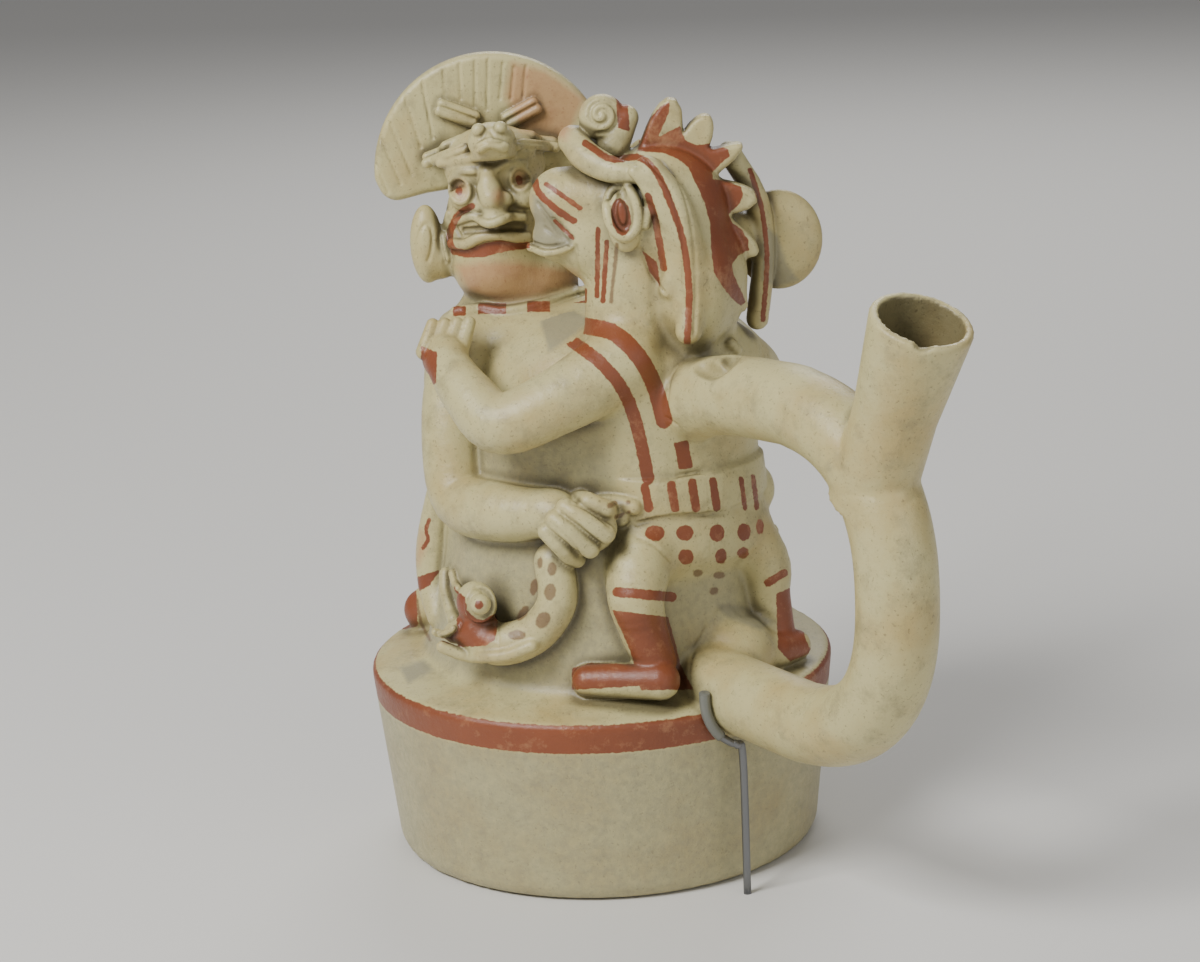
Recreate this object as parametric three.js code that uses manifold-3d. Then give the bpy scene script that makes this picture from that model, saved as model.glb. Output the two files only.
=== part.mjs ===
// A stirrup spout vessel: a drum-shaped foot that carries two grappling figures, and a tubular stirrup
// that runs from the back of one figure to the rim of the drum and carries the pouring spout.
// Millimetres. +Z is up, +X is the side the stirrup reaches to, and the origin is the middle of the
// underside of the drum.
import * as THREE from "three";
import { mergeVertices } from "three/addons/utils/BufferGeometryUtils.js";
import Module from "manifold-3d";

// Drum
const drumRimRadius = 74;
const drumFootRadius = 68;
const drumHeight = 60;
const drumCrown = 4.5;
const drumFootRound = 4;
const drumRimRound = 1.6;
const drumWall = 5;
const drumFloor = 6;

// Figures. Their pose is given on a grid whose height is poseSteps steps, and follows groupHeight.
const groupHeight = 192;
const poseSteps = 192;
const farSideShare = 0.84;
const figureWall = 5.5;
const neckBore = 8;

// Stirrup and spout
const tubeRadius = 12;
const tubeWall = 3.6;
const stirrupReach = 147;
const stirrupMiddle = 98;
const stirrupTop = 158.5;
const stirrupFoot = 62;
const stirrupSquareness = 2.4;
const upperArmDrop = 10;
const spoutLength = 62;
const spoutLean = 23;
const spoutMouthRadius = 14.8;
const spoutMouthWall = 2.6;
const spoutInset = 11.4;
const spoutDrop = 1.9 * tubeRadius;
const spoutLip = 1.2;
const chipWidth = 6;
const chipDepth = 2.6;
const chipTurn = 233;

// Headdress fan, crest and bands
const fanRadius = 37.5;
const fanShift = 2.5;
const fanLobe = 6;
const fanDroop = 18;
const fanThickness = 7;
const fanEdge = 2;
const fanGrooves = 11;
const fanGrooveDepth = 1.3;
const crestThickness = 7;
const crestRoot = 15;
const crestEdge = 1.2;
const beltLow = 57.5;
const beltHeight = 12;
const beltProud = 1.2;

// Rod that holds the stirrup up
const rodRadius = 1.2;
const sleeveRadius = 1.7;
const rodClearance = 0.35;
const rodGap = 3.5;
const hookRise = 1;
const hookTurn = 0.25;
const hookStep = 0.8;
const rodStand = drumRimRadius + rodGap;

const wasm = await Module();
wasm.setup();

const poseScale = groupHeight / poseSteps;

// A point of the figures, from the centre of the drum's rim plane.
function at(x, y, z) {
  return new THREE.Vector3(x, y, z).multiplyScalar(poseScale).add(new THREE.Vector3(0, 0, drumHeight));
}

// A closed three.js geometry as a solid that can be joined and cut.
function solid(geometry) {
  const plain = geometry.index ? geometry.toNonIndexed() : geometry;
  const bare = new THREE.BufferGeometry().setAttribute("position", plain.getAttribute("position"));
  const merged = mergeVertices(bare, 1e-3);
  const data = {
    numProp: 3,
    vertProperties: merged.attributes.position.array,
    triVerts: new Uint32Array(merged.index.array),
  };
  return new wasm.Manifold(new wasm.Mesh(data));
}

// A joined solid as a geometry for a mesh.
function geometryOf(made) {
  const mesh = made.getMesh();
  const geometry = new THREE.BufferGeometry();
  geometry.setAttribute("position", new THREE.BufferAttribute(mesh.vertProperties, 3));
  geometry.setIndex(new THREE.BufferAttribute(mesh.triVerts, 1));
  const flat = geometry.toNonIndexed();
  flat.computeVertexNormals();
  return flat;
}

function join(solids) {
  return solids.reduce((sum, next) => sum.add(next));
}

// A turned form about +Z from its profile of [radius, height] points.
function turned(profile, segments) {
  const points = profile.map(([radius, height]) => new THREE.Vector2(radius, height));
  return new THREE.LatheGeometry(points, segments).rotateX(Math.PI / 2);
}

// An egg-shaped form: semi-axes along its own axes, turned by Euler angles in degrees.
function egg(middle, [deep, wide, tall], turn = [0, 0, 0], segments = [9, 6]) {
  const radians = turn.map(THREE.MathUtils.degToRad);
  const geometry = new THREE.SphereGeometry(1, segments[0], segments[1]).rotateX(Math.PI / 2);
  geometry.scale(deep * poseScale, wide * poseScale, tall * poseScale);
  geometry.applyMatrix4(new THREE.Matrix4().makeRotationFromEuler(new THREE.Euler(...radians, "ZYX")));
  geometry.translate(middle.x, middle.y, middle.z);
  return solid(geometry);
}

// The joints with one more at each end, so that a round end reaches past its joint by the radius there.
function withEnds(joints, sizes) {
  const last = joints.length - 1;
  const before = joints[0].clone().sub(joints[1]).setLength(sizes[0]).add(joints[0]);
  const after = joints[last].clone().sub(joints[last - 1]).setLength(sizes.at(-1)).add(joints[last]);
  return [before, ...joints, after];
}

// A round-ended form along a curve through joints, its radius running through radii. The rows of a sphere
// are spread along the curve, and each row takes the radius there.
function limb(joints, radii, { around = 7, along = 6 } = {}) {
  const sizes = radii.map((radius) => radius * poseScale);
  const curve = new THREE.CatmullRomCurve3(withEnds(joints, sizes), false, "centripetal");
  const length = curve.getLength();
  const rows = along;
  const frames = curve.computeFrenetFrames(rows, false);
  const ball = new THREE.SphereGeometry(1, around, rows, 0, Math.PI * 2);
  const position = ball.getAttribute("position");
  for (let i = 0; i < position.count; i += 1) {
    const row = Math.floor(i / (around + 1));
    const turn = ((i % (around + 1)) / around) * Math.PI * 2;
    const share = row / rows;
    const place = (length * (1 - Math.cos(Math.PI * share))) / 2;
    const span = (place / length) * (sizes.length - 1);
    const low = Math.min(Math.floor(span), sizes.length - 2);
    const radius = THREE.MathUtils.lerp(sizes[low], sizes[low + 1], span - low);
    const fromEnd = Math.min(place, length - place);
    const round = fromEnd < radius ? Math.sqrt(1 - (1 - fromEnd / radius) ** 2) : 1;
    const frame = Math.round((place / length) * rows);
    const offset = frames.normals[frame].clone().multiplyScalar(Math.cos(turn));
    offset.addScaledVector(frames.binormals[frame], -Math.sin(turn));
    offset.multiplyScalar(radius * round);
    const point = curve.getPointAt(place / length).add(offset);
    position.setXYZ(i, point.x, point.y, point.z);
  }
  const made = solid(ball);
  return made.volume() < 0 ? solid(mirroredFaces(ball)) : made;
}

// The same surface with every face turned round.
function mirroredFaces(geometry) {
  const index = Array.from(geometry.index.array);
  for (let i = 0; i < index.length; i += 3) [index[i + 1], index[i + 2]] = [index[i + 2], index[i + 1]];
  geometry.setIndex(index);
  return geometry;
}

// A point of the side that shows, as it is.
function near(point) {
  return point;
}

// The hidden side's copy of a point, set in a little because that side leans inwards.
function across(point) {
  return new THREE.Vector3(point.x, -point.y * farSideShare, point.z);
}

// The drum: a flat underside with a rounded edge, flaring walls, a soft rim and a slightly crowned top.
function drumProfile(inset) {
  const foot = drumFootRadius - inset;
  const rim = drumRimRadius - inset;
  const floor = inset > 0 ? drumFloor : 0;
  const top = drumHeight - inset;
  const points = [[0, floor]];
  const footSteps = 2;
  for (let i = 0; i <= footSteps; i += 1) {
    const turn = (i / footSteps) * (Math.PI / 2);
    const out = foot - drumFootRound * (1 - Math.sin(turn));
    points.push([out, floor + drumFootRound * (1 - Math.cos(turn))]);
  }
  const rimSteps = 2;
  for (let i = 0; i <= rimSteps; i += 1) {
    const turn = (i / rimSteps) * (Math.PI / 2);
    const out = rim - drumRimRound * (1 - Math.cos(turn));
    points.push([out, top - drumRimRound * (1 - Math.sin(turn))]);
  }
  points.push([rim * 0.8, top + drumCrown * 0.8]);
  points.push([0, top + drumCrown]);
  return points;
}

function drum() {
  return solid(turned(drumProfile(0), 28));
}

function drumHollow() {
  return solid(turned(drumProfile(drumWall), 16));
}

// Level sections of a body: height, middle along X and Y, half depth and half width.
const chamberSections = [
  [-2, 0, 0, 58, 56],
  [6, 0, 0, 57, 55],
  [20, 1, 0, 55, 52],
  [38, 2, 0, 52, 48],
  [58, 3, 0, 48, 44],
  [78, 4, 0, 46, 41],
  [96, 4, 0, 42, 37],
  [107, 4, 0, 34, 29],
  [113, 4, 0, 20, 16],
];

// The rear figure's trunk: broad rounded shoulders over the chamber.
const rearSections = [
  [16, -20, 0, 26, 38],
  [50, -21, 0, 27, 41],
  [70, -23, 0, 25, 42],
  [90, -24, -2, 23, 42],
  [102, -23, -4, 20, 37],
  [110, -21, -6, 15, 27],
  [115, -19, -8, 8, 14],
];

// The front figure's trunk: a short skirt, a waist and a broad flat back.
const frontSections = [
  [34, 38, 5, 12, 22],
  [42, 40, 5, 19, 30],
  [57, 41, 5, 17.5, 28],
  [70, 41, 5, 16, 27],
  [88, 41, 4, 15.5, 28],
  [101, 41, 3, 14, 30],
  [109, 40, 2, 10, 24],
  [114, 38, 1, 6, 14],
];

// A body from level sections, its surface moved in by inset.
function body(sections, inset, segments) {
  const [low, high] = [sections[0][0], sections[sections.length - 1][0]];
  const heights = [low, ...sections.map((section) => section[0]), high];
  const profile = heights.map((height, i) => [i === 0 || i === heights.length - 1 ? 0 : 1, height]);
  const geometry = turned(profile, segments);
  const position = geometry.getAttribute("position");
  for (let i = 0; i < position.count; i += 1) {
    const height = position.getZ(i);
    const row = sections.find((section) => Math.abs(section[0] - height) < 1e-3);
    const [, middleX, middleY, depth, width] = row;
    const rise = height === high ? -inset : 0;
    const x = middleX + position.getX(i) * (depth - inset);
    const point = at(x, middleY + position.getY(i) * (width - inset), height + rise);
    position.setXYZ(i, point.x, point.y, point.z);
  }
  return solid(geometry);
}

// The front figure's belt stands a little proud of its waist.
function belt() {
  const [, middleX, middleY, depth, width] = frontSections[2];
  const rows = [beltLow, beltLow + beltHeight].map((height) => height / poseScale);
  const size = [depth, width].map((half) => half + beltProud / poseScale);
  return body(rows.map((height) => [height, middleX, middleY, ...size]), 0, 16);
}

// Arms and hands of the visible side; the hidden side is their mirror image.
function arms() {
  const rearArm = [at(-20, -33, 103), at(-14, -42, 82), at(-6, -46, 59), at(16, -46, 58), at(35, -39, 60)];
  const frontArm = [at(42, -17, 104), at(37, -38, 95), at(27, -52, 89), at(13, -54, 96), at(-1, -52, 103)];
  const made = [];
  for (const side of [near, across]) {
    made.push(limb(rearArm.map(side), [11, 10, 9.5, 9, 7], { around: 8, along: 9 }));
    made.push(limb(frontArm.map(side), [12, 10, 9.2, 8, 6.5], { around: 8, along: 9 }));
  }
  made.push(limb([at(33, -40, 60), at(40, -38, 57)], [7, 6.5], { around: 7, along: 4 }));
  made.push(egg(at(43, -35.5, 56.5), [5, 11, 8.5], [0, 0, -41], [8, 6]));
  made.push(egg(across(at(43, -37, 56)), [7, 6, 8], [0, 0, 0], [7, 5]));
  for (const side of [near, across]) {
    made.push(egg(side(at(-5, -50, 103.5)), [8.5, 6.5, 7.5], [0, 0, 0], [8, 5]));
    made.push(egg(side(at(-6, -47.5, 110)), [6.5, 5, 5.5], [0, 0, 0], [7, 4]));
  }
  for (const joints of fingers()) made.push(limb(joints, [3, 2.8], { around: 5, along: 3 }));
  return made;
}

// The fingers that close over the belt: each runs from the knuckles to its tip, side by side down the hand.
function fingers() {
  const count = 4;
  const [firstRoot, lastRoot] = [at(44, -40, 62), at(36, -43, 50)];
  const [firstTip, lastTip] = [at(54, -31, 57), at(43, -39, 41)];
  return Array.from({ length: count }, (_, i) => {
    const share = i / (count - 1);
    return [firstRoot.clone().lerp(lastRoot, share), firstTip.clone().lerp(lastTip, share)];
  });
}

// Legs and feet of the front figure, splayed either side of the stirrup and the mound of clay that beds it,
// and the rear figure's feet.
function legs() {
  const nearLeg = [at(44, -12, 50), at(54, -24, 37), at(55, -23, 26), at(57, -20, 14)];
  const farLeg = [at(44, 19, 50), at(49, 28, 34), at(50, 29, 24), at(52, 30, 12)];
  const nearFoot = [at(62, -22, 9.5), at(44.5, -36.5, 8.5)];
  const farFoot = [at(57, 26, 7), at(55, 36, 6)];
  const made = [];
  made.push(limb(nearLeg, [11, 9, 7.5, 6.5]), limb(farLeg, [11, 9, 7.5, 6.5]));
  made.push(limb(nearFoot, [6, 5]), limb(farFoot, [6, 5]));
  made.push(egg(at(54, 12, 9), [13, 13, 12], [0, 0, 0], [8, 5]));
  for (const side of [-1, 1]) {
    made.push(limb([at(-40, side * 26, 16), at(-53, side * 33, 8)], [10, 7], { around: 7, along: 4 }));
  }
  return made;
}

// The belts' serpents: one hangs from under the hand, runs along the foot of the body and ends in a head,
// and one hangs straight down behind the rear figure's elbow.
function serpents() {
  const spine = [at(34, -40, 45), at(37, -41.5, 33), at(32, -47, 23), at(23, -54, 19), at(14, -57, 22)];
  const second = [at(-22, -39, 70), at(-27, -41, 52), at(-29, -42, 36), at(-28, -44, 24), at(-22, -47, 16)];
  const brow = at(16, -57, 31);
  const jaw = [at(16, -57, 23), at(9, -61, 21)];
  const made = [];
  for (const side of [near, across]) {
    made.push(limb(spine.map(side), [6, 6, 6.2, 6.6, 6.4], { around: 6, along: 8 }));
    made.push(limb(second.map(side), [4, 5, 6.5, 6, 4], { around: 6, along: 5 }));
    made.push(egg(side(brow), [7.5, 5.5, 7], [0, 0, 0], [8, 5]));
    made.push(limb(jaw.map(side), [6, 3.5], { around: 6, along: 4 }));
    made.push(egg(side(at(20, -60, 33)), [3.4, 2.6, 3.4], [0, 0, 0], [7, 4]));
  }
  return made;
}

// The rear figure's head, turned towards its right shoulder, with its ear ornaments and collar.
const rearFacing = -35;
const rearHead = [-25, -15, 134.5];

// A point of a head from its own front, left and up distances.
function onHead([x, y, z], facing, front, left, up) {
  const turn = THREE.MathUtils.degToRad(facing);
  const dx = front * Math.cos(turn) - left * Math.sin(turn);
  const dy = front * Math.sin(turn) + left * Math.cos(turn);
  return at(x + dx, y + dy, z + up);
}

function rearHeadForms() {
  const place = (front, left, up) => onHead(rearHead, rearFacing, front, left, up);
  const turn = [0, 0, rearFacing];
  const made = [
    egg(place(0, 0, 2), [17, 16.5, 24], turn, [10, 7]),
    egg(place(2, 0, 23), [13, 16, 12], turn, [9, 6]),
    egg(place(5, 0, -9), [13, 14.5, 12], turn, [9, 6]),
    egg(place(8, 5, -34), [18, 27, 12], turn, [9, 5]),
    egg(place(1, 6, -23), [14, 19, 12], turn, [8, 5]),
    egg(place(3, 3, -26.5), [17, 23, 5.5], turn, [10, 4]),
    egg(place(1, 8, -13), [14, 16, 11], turn, [8, 5]),
    limb([place(14.5, 0, 16), place(17.5, 0, 9)], [2.2, 4], { around: 5, along: 4 }),
    limb([place(13, -10, -1), place(17.5, 0, 2), place(13, 10, -1)], [2, 2.4, 2], { around: 5, along: 5 }),
    limb([place(12, -9, -7), place(16, 0, -5), place(12, 9, -7)], [2, 2.4, 2], { around: 5, along: 5 }),
    egg(place(15.5, 0, 32), [7, 7.5, 6], turn, [8, 5]),
  ];
  for (const side of [-1, 1]) {
    made.push(egg(place(12.5, side * 9, 14), [4, 5, 4], turn, [7, 5]));
    made.push(egg(place(3, side * 22.5, -1.5), [5.5, 5.2, 12.5], turn, [8, 5]));
    made.push(egg(place(2, side * 18, -6), [5, 5, 7], turn, [7, 4]));
    made.push(limb([place(14, side * 4, 35), place(9, side * 12, 40)], [3, 3], { around: 5, along: 3 }));
    made.push(limb([place(14, side * 4, 29), place(12, side * 14, 25)], [3, 3], { around: 5, along: 3 }));
  }
  return made;
}

// The upright fan behind the rear head: more than half a disc that ends in a round lobe over the ear,
// scored with lines from its middle.
function fan() {
  const outline = new THREE.Shape();
  const droop = THREE.MathUtils.degToRad(fanDroop);
  outline.absarc(fanShift, 0, fanRadius - fanEdge, -droop, Math.PI, false);
  outline.absarc(-fanRadius + fanShift + fanLobe, -fanEdge, fanLobe - fanEdge, Math.PI, Math.PI * 1.5, false);
  outline.lineTo(0, -fanEdge);
  const bevel = { bevelEnabled: true, bevelThickness: fanEdge, bevelSize: fanEdge, bevelSegments: 1 };
  const depth = fanThickness - 2 * fanEdge;
  const geometry = new THREE.ExtrudeGeometry(outline, { depth, curveSegments: 9, ...bevel });
  geometry.translate(0, 0, -depth / 2);
  let plate = solid(geometry);
  for (let i = 0; i < fanGrooves; i += 1) {
    const turn = (Math.PI * (i + 0.5)) / fanGrooves;
    plate = plate.subtract(fanGroove(turn, fanThickness / 2));
  }
  const stand = new THREE.Matrix4().makeRotationX(Math.PI / 2);
  const face = new THREE.Matrix4().makeRotationZ(THREE.MathUtils.degToRad(rearFacing + 90));
  const spot = at(-40, -9, 152.5);
  const place = new THREE.Matrix4().makeTranslation(spot.x, spot.y, spot.z);
  return plate.transform(place.multiply(face).multiply(stand).toArray());
}

// A V-shaped score from the middle of the fan's ring to past its edge.
function fanGroove(turn, face) {
  const geometry = new THREE.CylinderGeometry(fanGrooveDepth, fanGrooveDepth, fanRadius, 3);
  geometry.translate(0, fanRadius * 0.86, 0);
  geometry.rotateZ(turn - Math.PI / 2);
  geometry.translate(0, 0, face);
  return solid(geometry);
}

// The front figure's head: turned in profile, muzzle raised, with ear, head band, scroll and crest.
const frontFacing = -125;
const frontHead = [38, 2, 147];

function frontHeadForms() {
  const place = (front, left, up) => onHead(frontHead, frontFacing, front, left, up);
  const turn = [0, 0, frontFacing];
  const made = [
    egg(place(0, 0, 0), [21, 19, 21], turn, [11, 7]),
    egg(place(17, 0, -5), [16, 12.5, 16], turn, [9, 6]),
    limb([place(14, 0, 4), place(29, 0, 5)], [12, 10], { around: 7, along: 5 }),
    limb([place(12, 0, -9), place(31, 0, -6)], [9, 7.5], { around: 7, along: 5 }),
    limb([at(34, -8, 105), place(8, 0, -15)], [14, 15], { around: 8, along: 4 }),
    egg(place(16, 0, 29.5), [7, 5.5, 7], turn, [10, 6]),
    limb([place(13, 0, 21), place(9, 0, 29)], [5, 4], { around: 6, along: 3 }),
    egg(place(-13, 0, -20), [13, 14, 21], turn, [8, 5]),
    egg(place(-9, 9, -20), [12, 11, 22], turn, [8, 5]),
    egg(place(-36.5, -13, -12.5), [13.5, 5, 15.5], turn, [10, 5]),
    limb([place(-14, -5, -6), place(-28, -11, -11)], [9, 6], { around: 7, along: 4 }),
    limb([place(-22, -7, 16), place(-30, -8, 1), place(-29, -8, -36)], [3.5, 3.5], { around: 5, along: 4 }),
  ];
  for (const side of [-1, 1]) {
    const band = [place(25, side, 23), place(14, side * 14, 16), place(7, side * 17, 15)];
    made.push(limb(band, [4.4, 4, 3], { around: 5, along: 4 }));
    made.push(egg(place(10.5, side * 17, 1), [5.5, 3.6, 9.5], turn, [8, 5]));
    const lock = [place(4, side * 16, 16), place(-5, side * 18, 2), place(-12, side * 15, -22)];
    made.push(limb(lock, [3.6, 4.4, 2.4], { around: 5, along: 5 }));
  }
  return made;
}

// The crest's petals. Each runs from its first valley's [angle, reach] to the next one, and rises to its
// own reach, at the share of the way that peak gives.
const crestValleys = [[72, 20], [108.5, 25.5], [129, 25], [149, 19.5], [184, 21.5], [213, 25.5], [237, 31]];
const crestTips = [[0.72, 35], [0.5, 33], [0.68, 32.5], [0.7, 30], [0.72, 32.5], [0.75, 40]];

// The crest: a plate of petals over the back of the head, set in the head's own upright plane.
function crest() {
  const outline = new THREE.Shape();
  const corner = (degrees, reach, inset) => {
    const turn = THREE.MathUtils.degToRad(degrees);
    const out = reach * poseScale - inset;
    return [out * Math.cos(turn), out * Math.sin(turn)];
  };
  const steps = 5;
  crestTips.forEach(([peak, tip], petal) => {
    const [[from, low], [to, high]] = [crestValleys[petal], crestValleys[petal + 1]];
    const skew = Math.log(0.5) / Math.log(peak);
    for (let i = 0; i < steps; i += 1) {
      const share = i / steps;
      const base = THREE.MathUtils.lerp(low, high, share);
      const reach = base + (tip - base) * Math.sin(Math.PI * share ** skew) ** 0.85;
      const point = corner(THREE.MathUtils.lerp(from, to, share), reach, crestEdge);
      if (petal === 0 && i === 0) outline.moveTo(...point);
      else outline.lineTo(...point);
    }
  });
  const [first, last] = [crestValleys[0][0], crestValleys.at(-1)[0]];
  for (let i = 0; i <= steps; i += 1) {
    outline.lineTo(...corner(THREE.MathUtils.lerp(last, first, i / steps), crestRoot / poseScale, 0));
  }
  const bevel = { bevelEnabled: true, bevelThickness: crestEdge, bevelSize: crestEdge, bevelSegments: 1 };
  const depth = crestThickness - 2 * crestEdge;
  const geometry = new THREE.ExtrudeGeometry(outline, { depth, curveSegments: 8, ...bevel });
  geometry.translate(0, 0, -depth / 2);
  geometry.rotateX(Math.PI / 2);
  geometry.rotateZ(THREE.MathUtils.degToRad(frontFacing));
  const spot = at(...frontHead);
  geometry.translate(spot.x, spot.y, spot.z);
  return solid(geometry);
}

// The stirrup's centre line: an arm rising from the back, a squared half ring and an arm to the drum.
function stirrupPath() {
  const halfReach = stirrupReach - stirrupMiddle;
  const halfRise = (stirrupTop - stirrupFoot) / 2;
  const level = (stirrupTop + stirrupFoot) / 2;
  const back = at(34, 0, 0).x;
  const points = [new THREE.Vector3(back, 0, stirrupTop - upperArmDrop * 1.6)];
  points.push(new THREE.Vector3((back + stirrupMiddle) / 2, 0, stirrupTop - upperArmDrop / 3));
  const steps = 10;
  for (let i = 0; i <= steps; i += 1) {
    const turn = Math.PI / 2 - (Math.PI * i) / steps;
    const bend = (value) => Math.sign(value) * Math.abs(value) ** (2 / stirrupSquareness);
    const x = stirrupMiddle + halfReach * bend(Math.cos(turn));
    points.push(new THREE.Vector3(x, 0, level + halfRise * bend(Math.sin(turn))));
  }
  points.push(new THREE.Vector3(at(40, 0, 0).x, 0, stirrupFoot + 1));
  return new THREE.CatmullRomCurve3(points, false, "centripetal");
}

function tubeAlong(path, radius, sides, steps) {
  const outline = new THREE.Shape().absarc(0, 0, radius, 0, Math.PI * 2, false);
  const options = { steps, curveSegments: sides, bevelEnabled: false, extrudePath: path };
  return solid(new THREE.ExtrudeGeometry(outline, options));
}

// Where the spout's axis leaves the stirrup's centre line, and the way it points.
function spoutFrame() {
  const lean = THREE.MathUtils.degToRad(spoutLean);
  const away = new THREE.Vector3(Math.sin(lean), 0, Math.cos(lean));
  const root = new THREE.Vector3(stirrupReach - spoutInset, 0, stirrupTop - spoutDrop);
  return { root, away, lean };
}

function leaning(geometry, along) {
  const { root, away, lean } = spoutFrame();
  geometry.rotateY(lean);
  geometry.translate(root.x + away.x * along, 0, root.z + away.z * along);
  return solid(geometry);
}

function spout() {
  const profile = [
    [0, 0],
    [tubeRadius, 0],
    [tubeRadius, spoutLength / 2],
    [spoutMouthRadius, spoutLength - spoutLip],
    [spoutMouthRadius - spoutLip, spoutLength],
    [0, spoutLength],
  ];
  return leaning(turned(profile, 18), 0);
}

function spoutBore() {
  const over = 2;
  const inner = tubeRadius - tubeWall;
  const mouth = spoutMouthRadius - spoutMouthWall;
  const profile = [
    [0, tubeWall],
    [inner, tubeWall],
    [inner, spoutLength / 2],
    [mouth, spoutLength],
    [mouth, spoutLength + over],
    [0, spoutLength + over],
  ];
  return leaning(turned(profile, 12), 0);
}

// The V-shaped chip in the near side of the spout's lip.
function lipChip() {
  const geometry = new THREE.CylinderGeometry(chipWidth / 2, chipWidth / 2, tubeRadius, 4);
  geometry.scale(1, 1, (2 * chipDepth) / chipWidth);
  geometry.translate(0, spoutMouthRadius, 0);
  geometry.rotateZ(THREE.MathUtils.degToRad(chipTurn));
  geometry.translate(0, 0, spoutLength);
  return leaning(geometry, 0);
}

// All that is hollow: drum, chamber, necks, stirrup and spout, one space that opens at the mouth.
function hollow(path) {
  const rearNeck = [at(-24, -8, 92), at(...rearHead)];
  const frontNeck = [at(28, 0, 90), at(...frontHead)];
  const bore = [neckBore / poseScale, neckBore / poseScale];
  return join([
    drumHollow(),
    body(chamberSections, figureWall / poseScale, 12),
    limb(rearNeck, bore, { around: 6, along: 4 }),
    limb(frontNeck, bore, { around: 6, along: 4 }),
    tubeAlong(path, tubeRadius - tubeWall, 3, 20),
    spoutBore(),
  ]);
}

function vessel() {
  const path = stirrupPath();
  const clay = join([
    drum(),
    body(chamberSections, 0, 16),
    body(rearSections, 0, 14),
    body(frontSections, 0, 14),
    belt(),
    ...arms(),
    ...legs(),
    ...serpents(),
    ...rearHeadForms(),
    fan(),
    ...frontHeadForms(),
    crest(),
    tubeAlong(path, tubeRadius, 4, 24),
    spout(),
  ]);
  return clay.subtract(hollow(path)).subtract(lipChip());
}

// The rod: it stands beside the drum, and its sleeved hook passes under the stirrup and up its near side.
function supportRod() {
  const clear = tubeRadius + sleeveRadius + rodClearance;
  const side = -clear * Math.sin(hookTurn);
  const under = stirrupFoot - clear;
  const points = [
    new THREE.Vector3(rodStand, side, 0),
    new THREE.Vector3(rodStand, side, under - 2 * sleeveRadius),
    new THREE.Vector3(rodStand, side - sleeveRadius, under + hookStep),
  ];
  const steps = 6;
  for (let i = 1; i <= steps; i += 1) {
    const turn = (-Math.PI / 2) * (1 + i / steps) - hookTurn;
    const [y, z] = [clear * Math.cos(turn), stirrupFoot + clear * Math.sin(turn)];
    points.push(new THREE.Vector3(rodStand - i * hookStep, y, z));
  }
  const last = points[points.length - 1];
  points.push(new THREE.Vector3(last.x, last.y, last.z + hookRise));
  const curve = new THREE.CatmullRomCurve3(points, false, "centripetal");
  return tubeAlong(curve, rodRadius, 3, 18);
}

function clay() {
  return new THREE.MeshStandardMaterial({ color: 0xc3bb92, roughness: 0.45, metalness: 0 });
}

function rodMetal() {
  return new THREE.MeshStandardMaterial({ color: 0x8b8f92, roughness: 0.4, metalness: 0.6 });
}

function named(name, made, material) {
  const mesh = new THREE.Mesh(geometryOf(made), material);
  mesh.name = name;
  return mesh;
}

const part = new THREE.Group();
part.add(named("vessel", vessel(), clay()));
part.add(named("support_rod", supportRod(), rodMetal()));

export default part;
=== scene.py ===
"""Looks of a stirrup spout vessel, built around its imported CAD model.

The vessel is hand-built from moulded clay, so its masses run into each other with soft fillets, and
lines are pressed or drawn into them while the clay is leather-hard. No single two-parameter surface
has that fused form. It is worked out instead as one signed-distance field on a numpy grid: each mass
is a closed formula, masses are joined by a smooth minimum, and hollows and drawn lines are taken out by
a smooth maximum. The zero surface of the field is the clay. Lengths here are millimetres, and metres
in the finished meshes.
"""

import logging
import math
from dataclasses import dataclass, field
from enum import Enum

import bpy
import numpy as np
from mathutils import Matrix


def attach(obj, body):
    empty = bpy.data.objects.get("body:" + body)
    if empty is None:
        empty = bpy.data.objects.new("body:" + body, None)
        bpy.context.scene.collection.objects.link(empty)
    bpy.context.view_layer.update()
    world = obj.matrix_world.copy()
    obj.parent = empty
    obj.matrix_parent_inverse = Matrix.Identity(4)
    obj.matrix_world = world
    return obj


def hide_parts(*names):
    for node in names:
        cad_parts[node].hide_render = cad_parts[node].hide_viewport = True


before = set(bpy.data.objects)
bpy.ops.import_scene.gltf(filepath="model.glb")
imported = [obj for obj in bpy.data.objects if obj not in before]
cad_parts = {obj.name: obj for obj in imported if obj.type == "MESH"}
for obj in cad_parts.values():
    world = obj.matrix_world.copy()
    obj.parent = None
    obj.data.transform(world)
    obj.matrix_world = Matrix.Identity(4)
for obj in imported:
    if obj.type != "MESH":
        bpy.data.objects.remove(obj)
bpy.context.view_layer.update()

import openvdb
from mathutils import Matrix, Vector

LOG = logging.getLogger("stirrup_vessel")
MM = 0.001
FAR = np.float32(60.0)
DRUM_HEIGHT = 60.0

Points = list[tuple[float, ...]]


def at(x: float, y: float, z: float) -> tuple[float, float, float]:
    """Returns a point of the figures, given from the middle of the drum's rim plane."""
    return (x, y, z + DRUM_HEIGHT)


def turning(degrees: float) -> tuple[float, float]:
    """Returns the cosine and the sine of an angle in degrees."""
    return math.cos(math.radians(degrees)), math.sin(math.radians(degrees))


def oval_gap(*pairs: tuple) -> np.ndarray:
    """The distance to an ellipse or ellipsoid: k0 (k0 - 1) / k1 with k0 = |p / r| and k1 = |p / r^2|.

    Args:
        pairs: (offset from the middle, half size) along each axis.

    Returns:
        The distance, negative inside. It is true on the surface and close to it near by.
    """
    k0 = np.sqrt(sum((p / r) ** 2 for p, r in pairs))
    k1 = np.sqrt(sum((p / r**2) ** 2 for p, r in pairs))
    return k0 * (k0 - 1) / np.maximum(k1, 1e-6)


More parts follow.
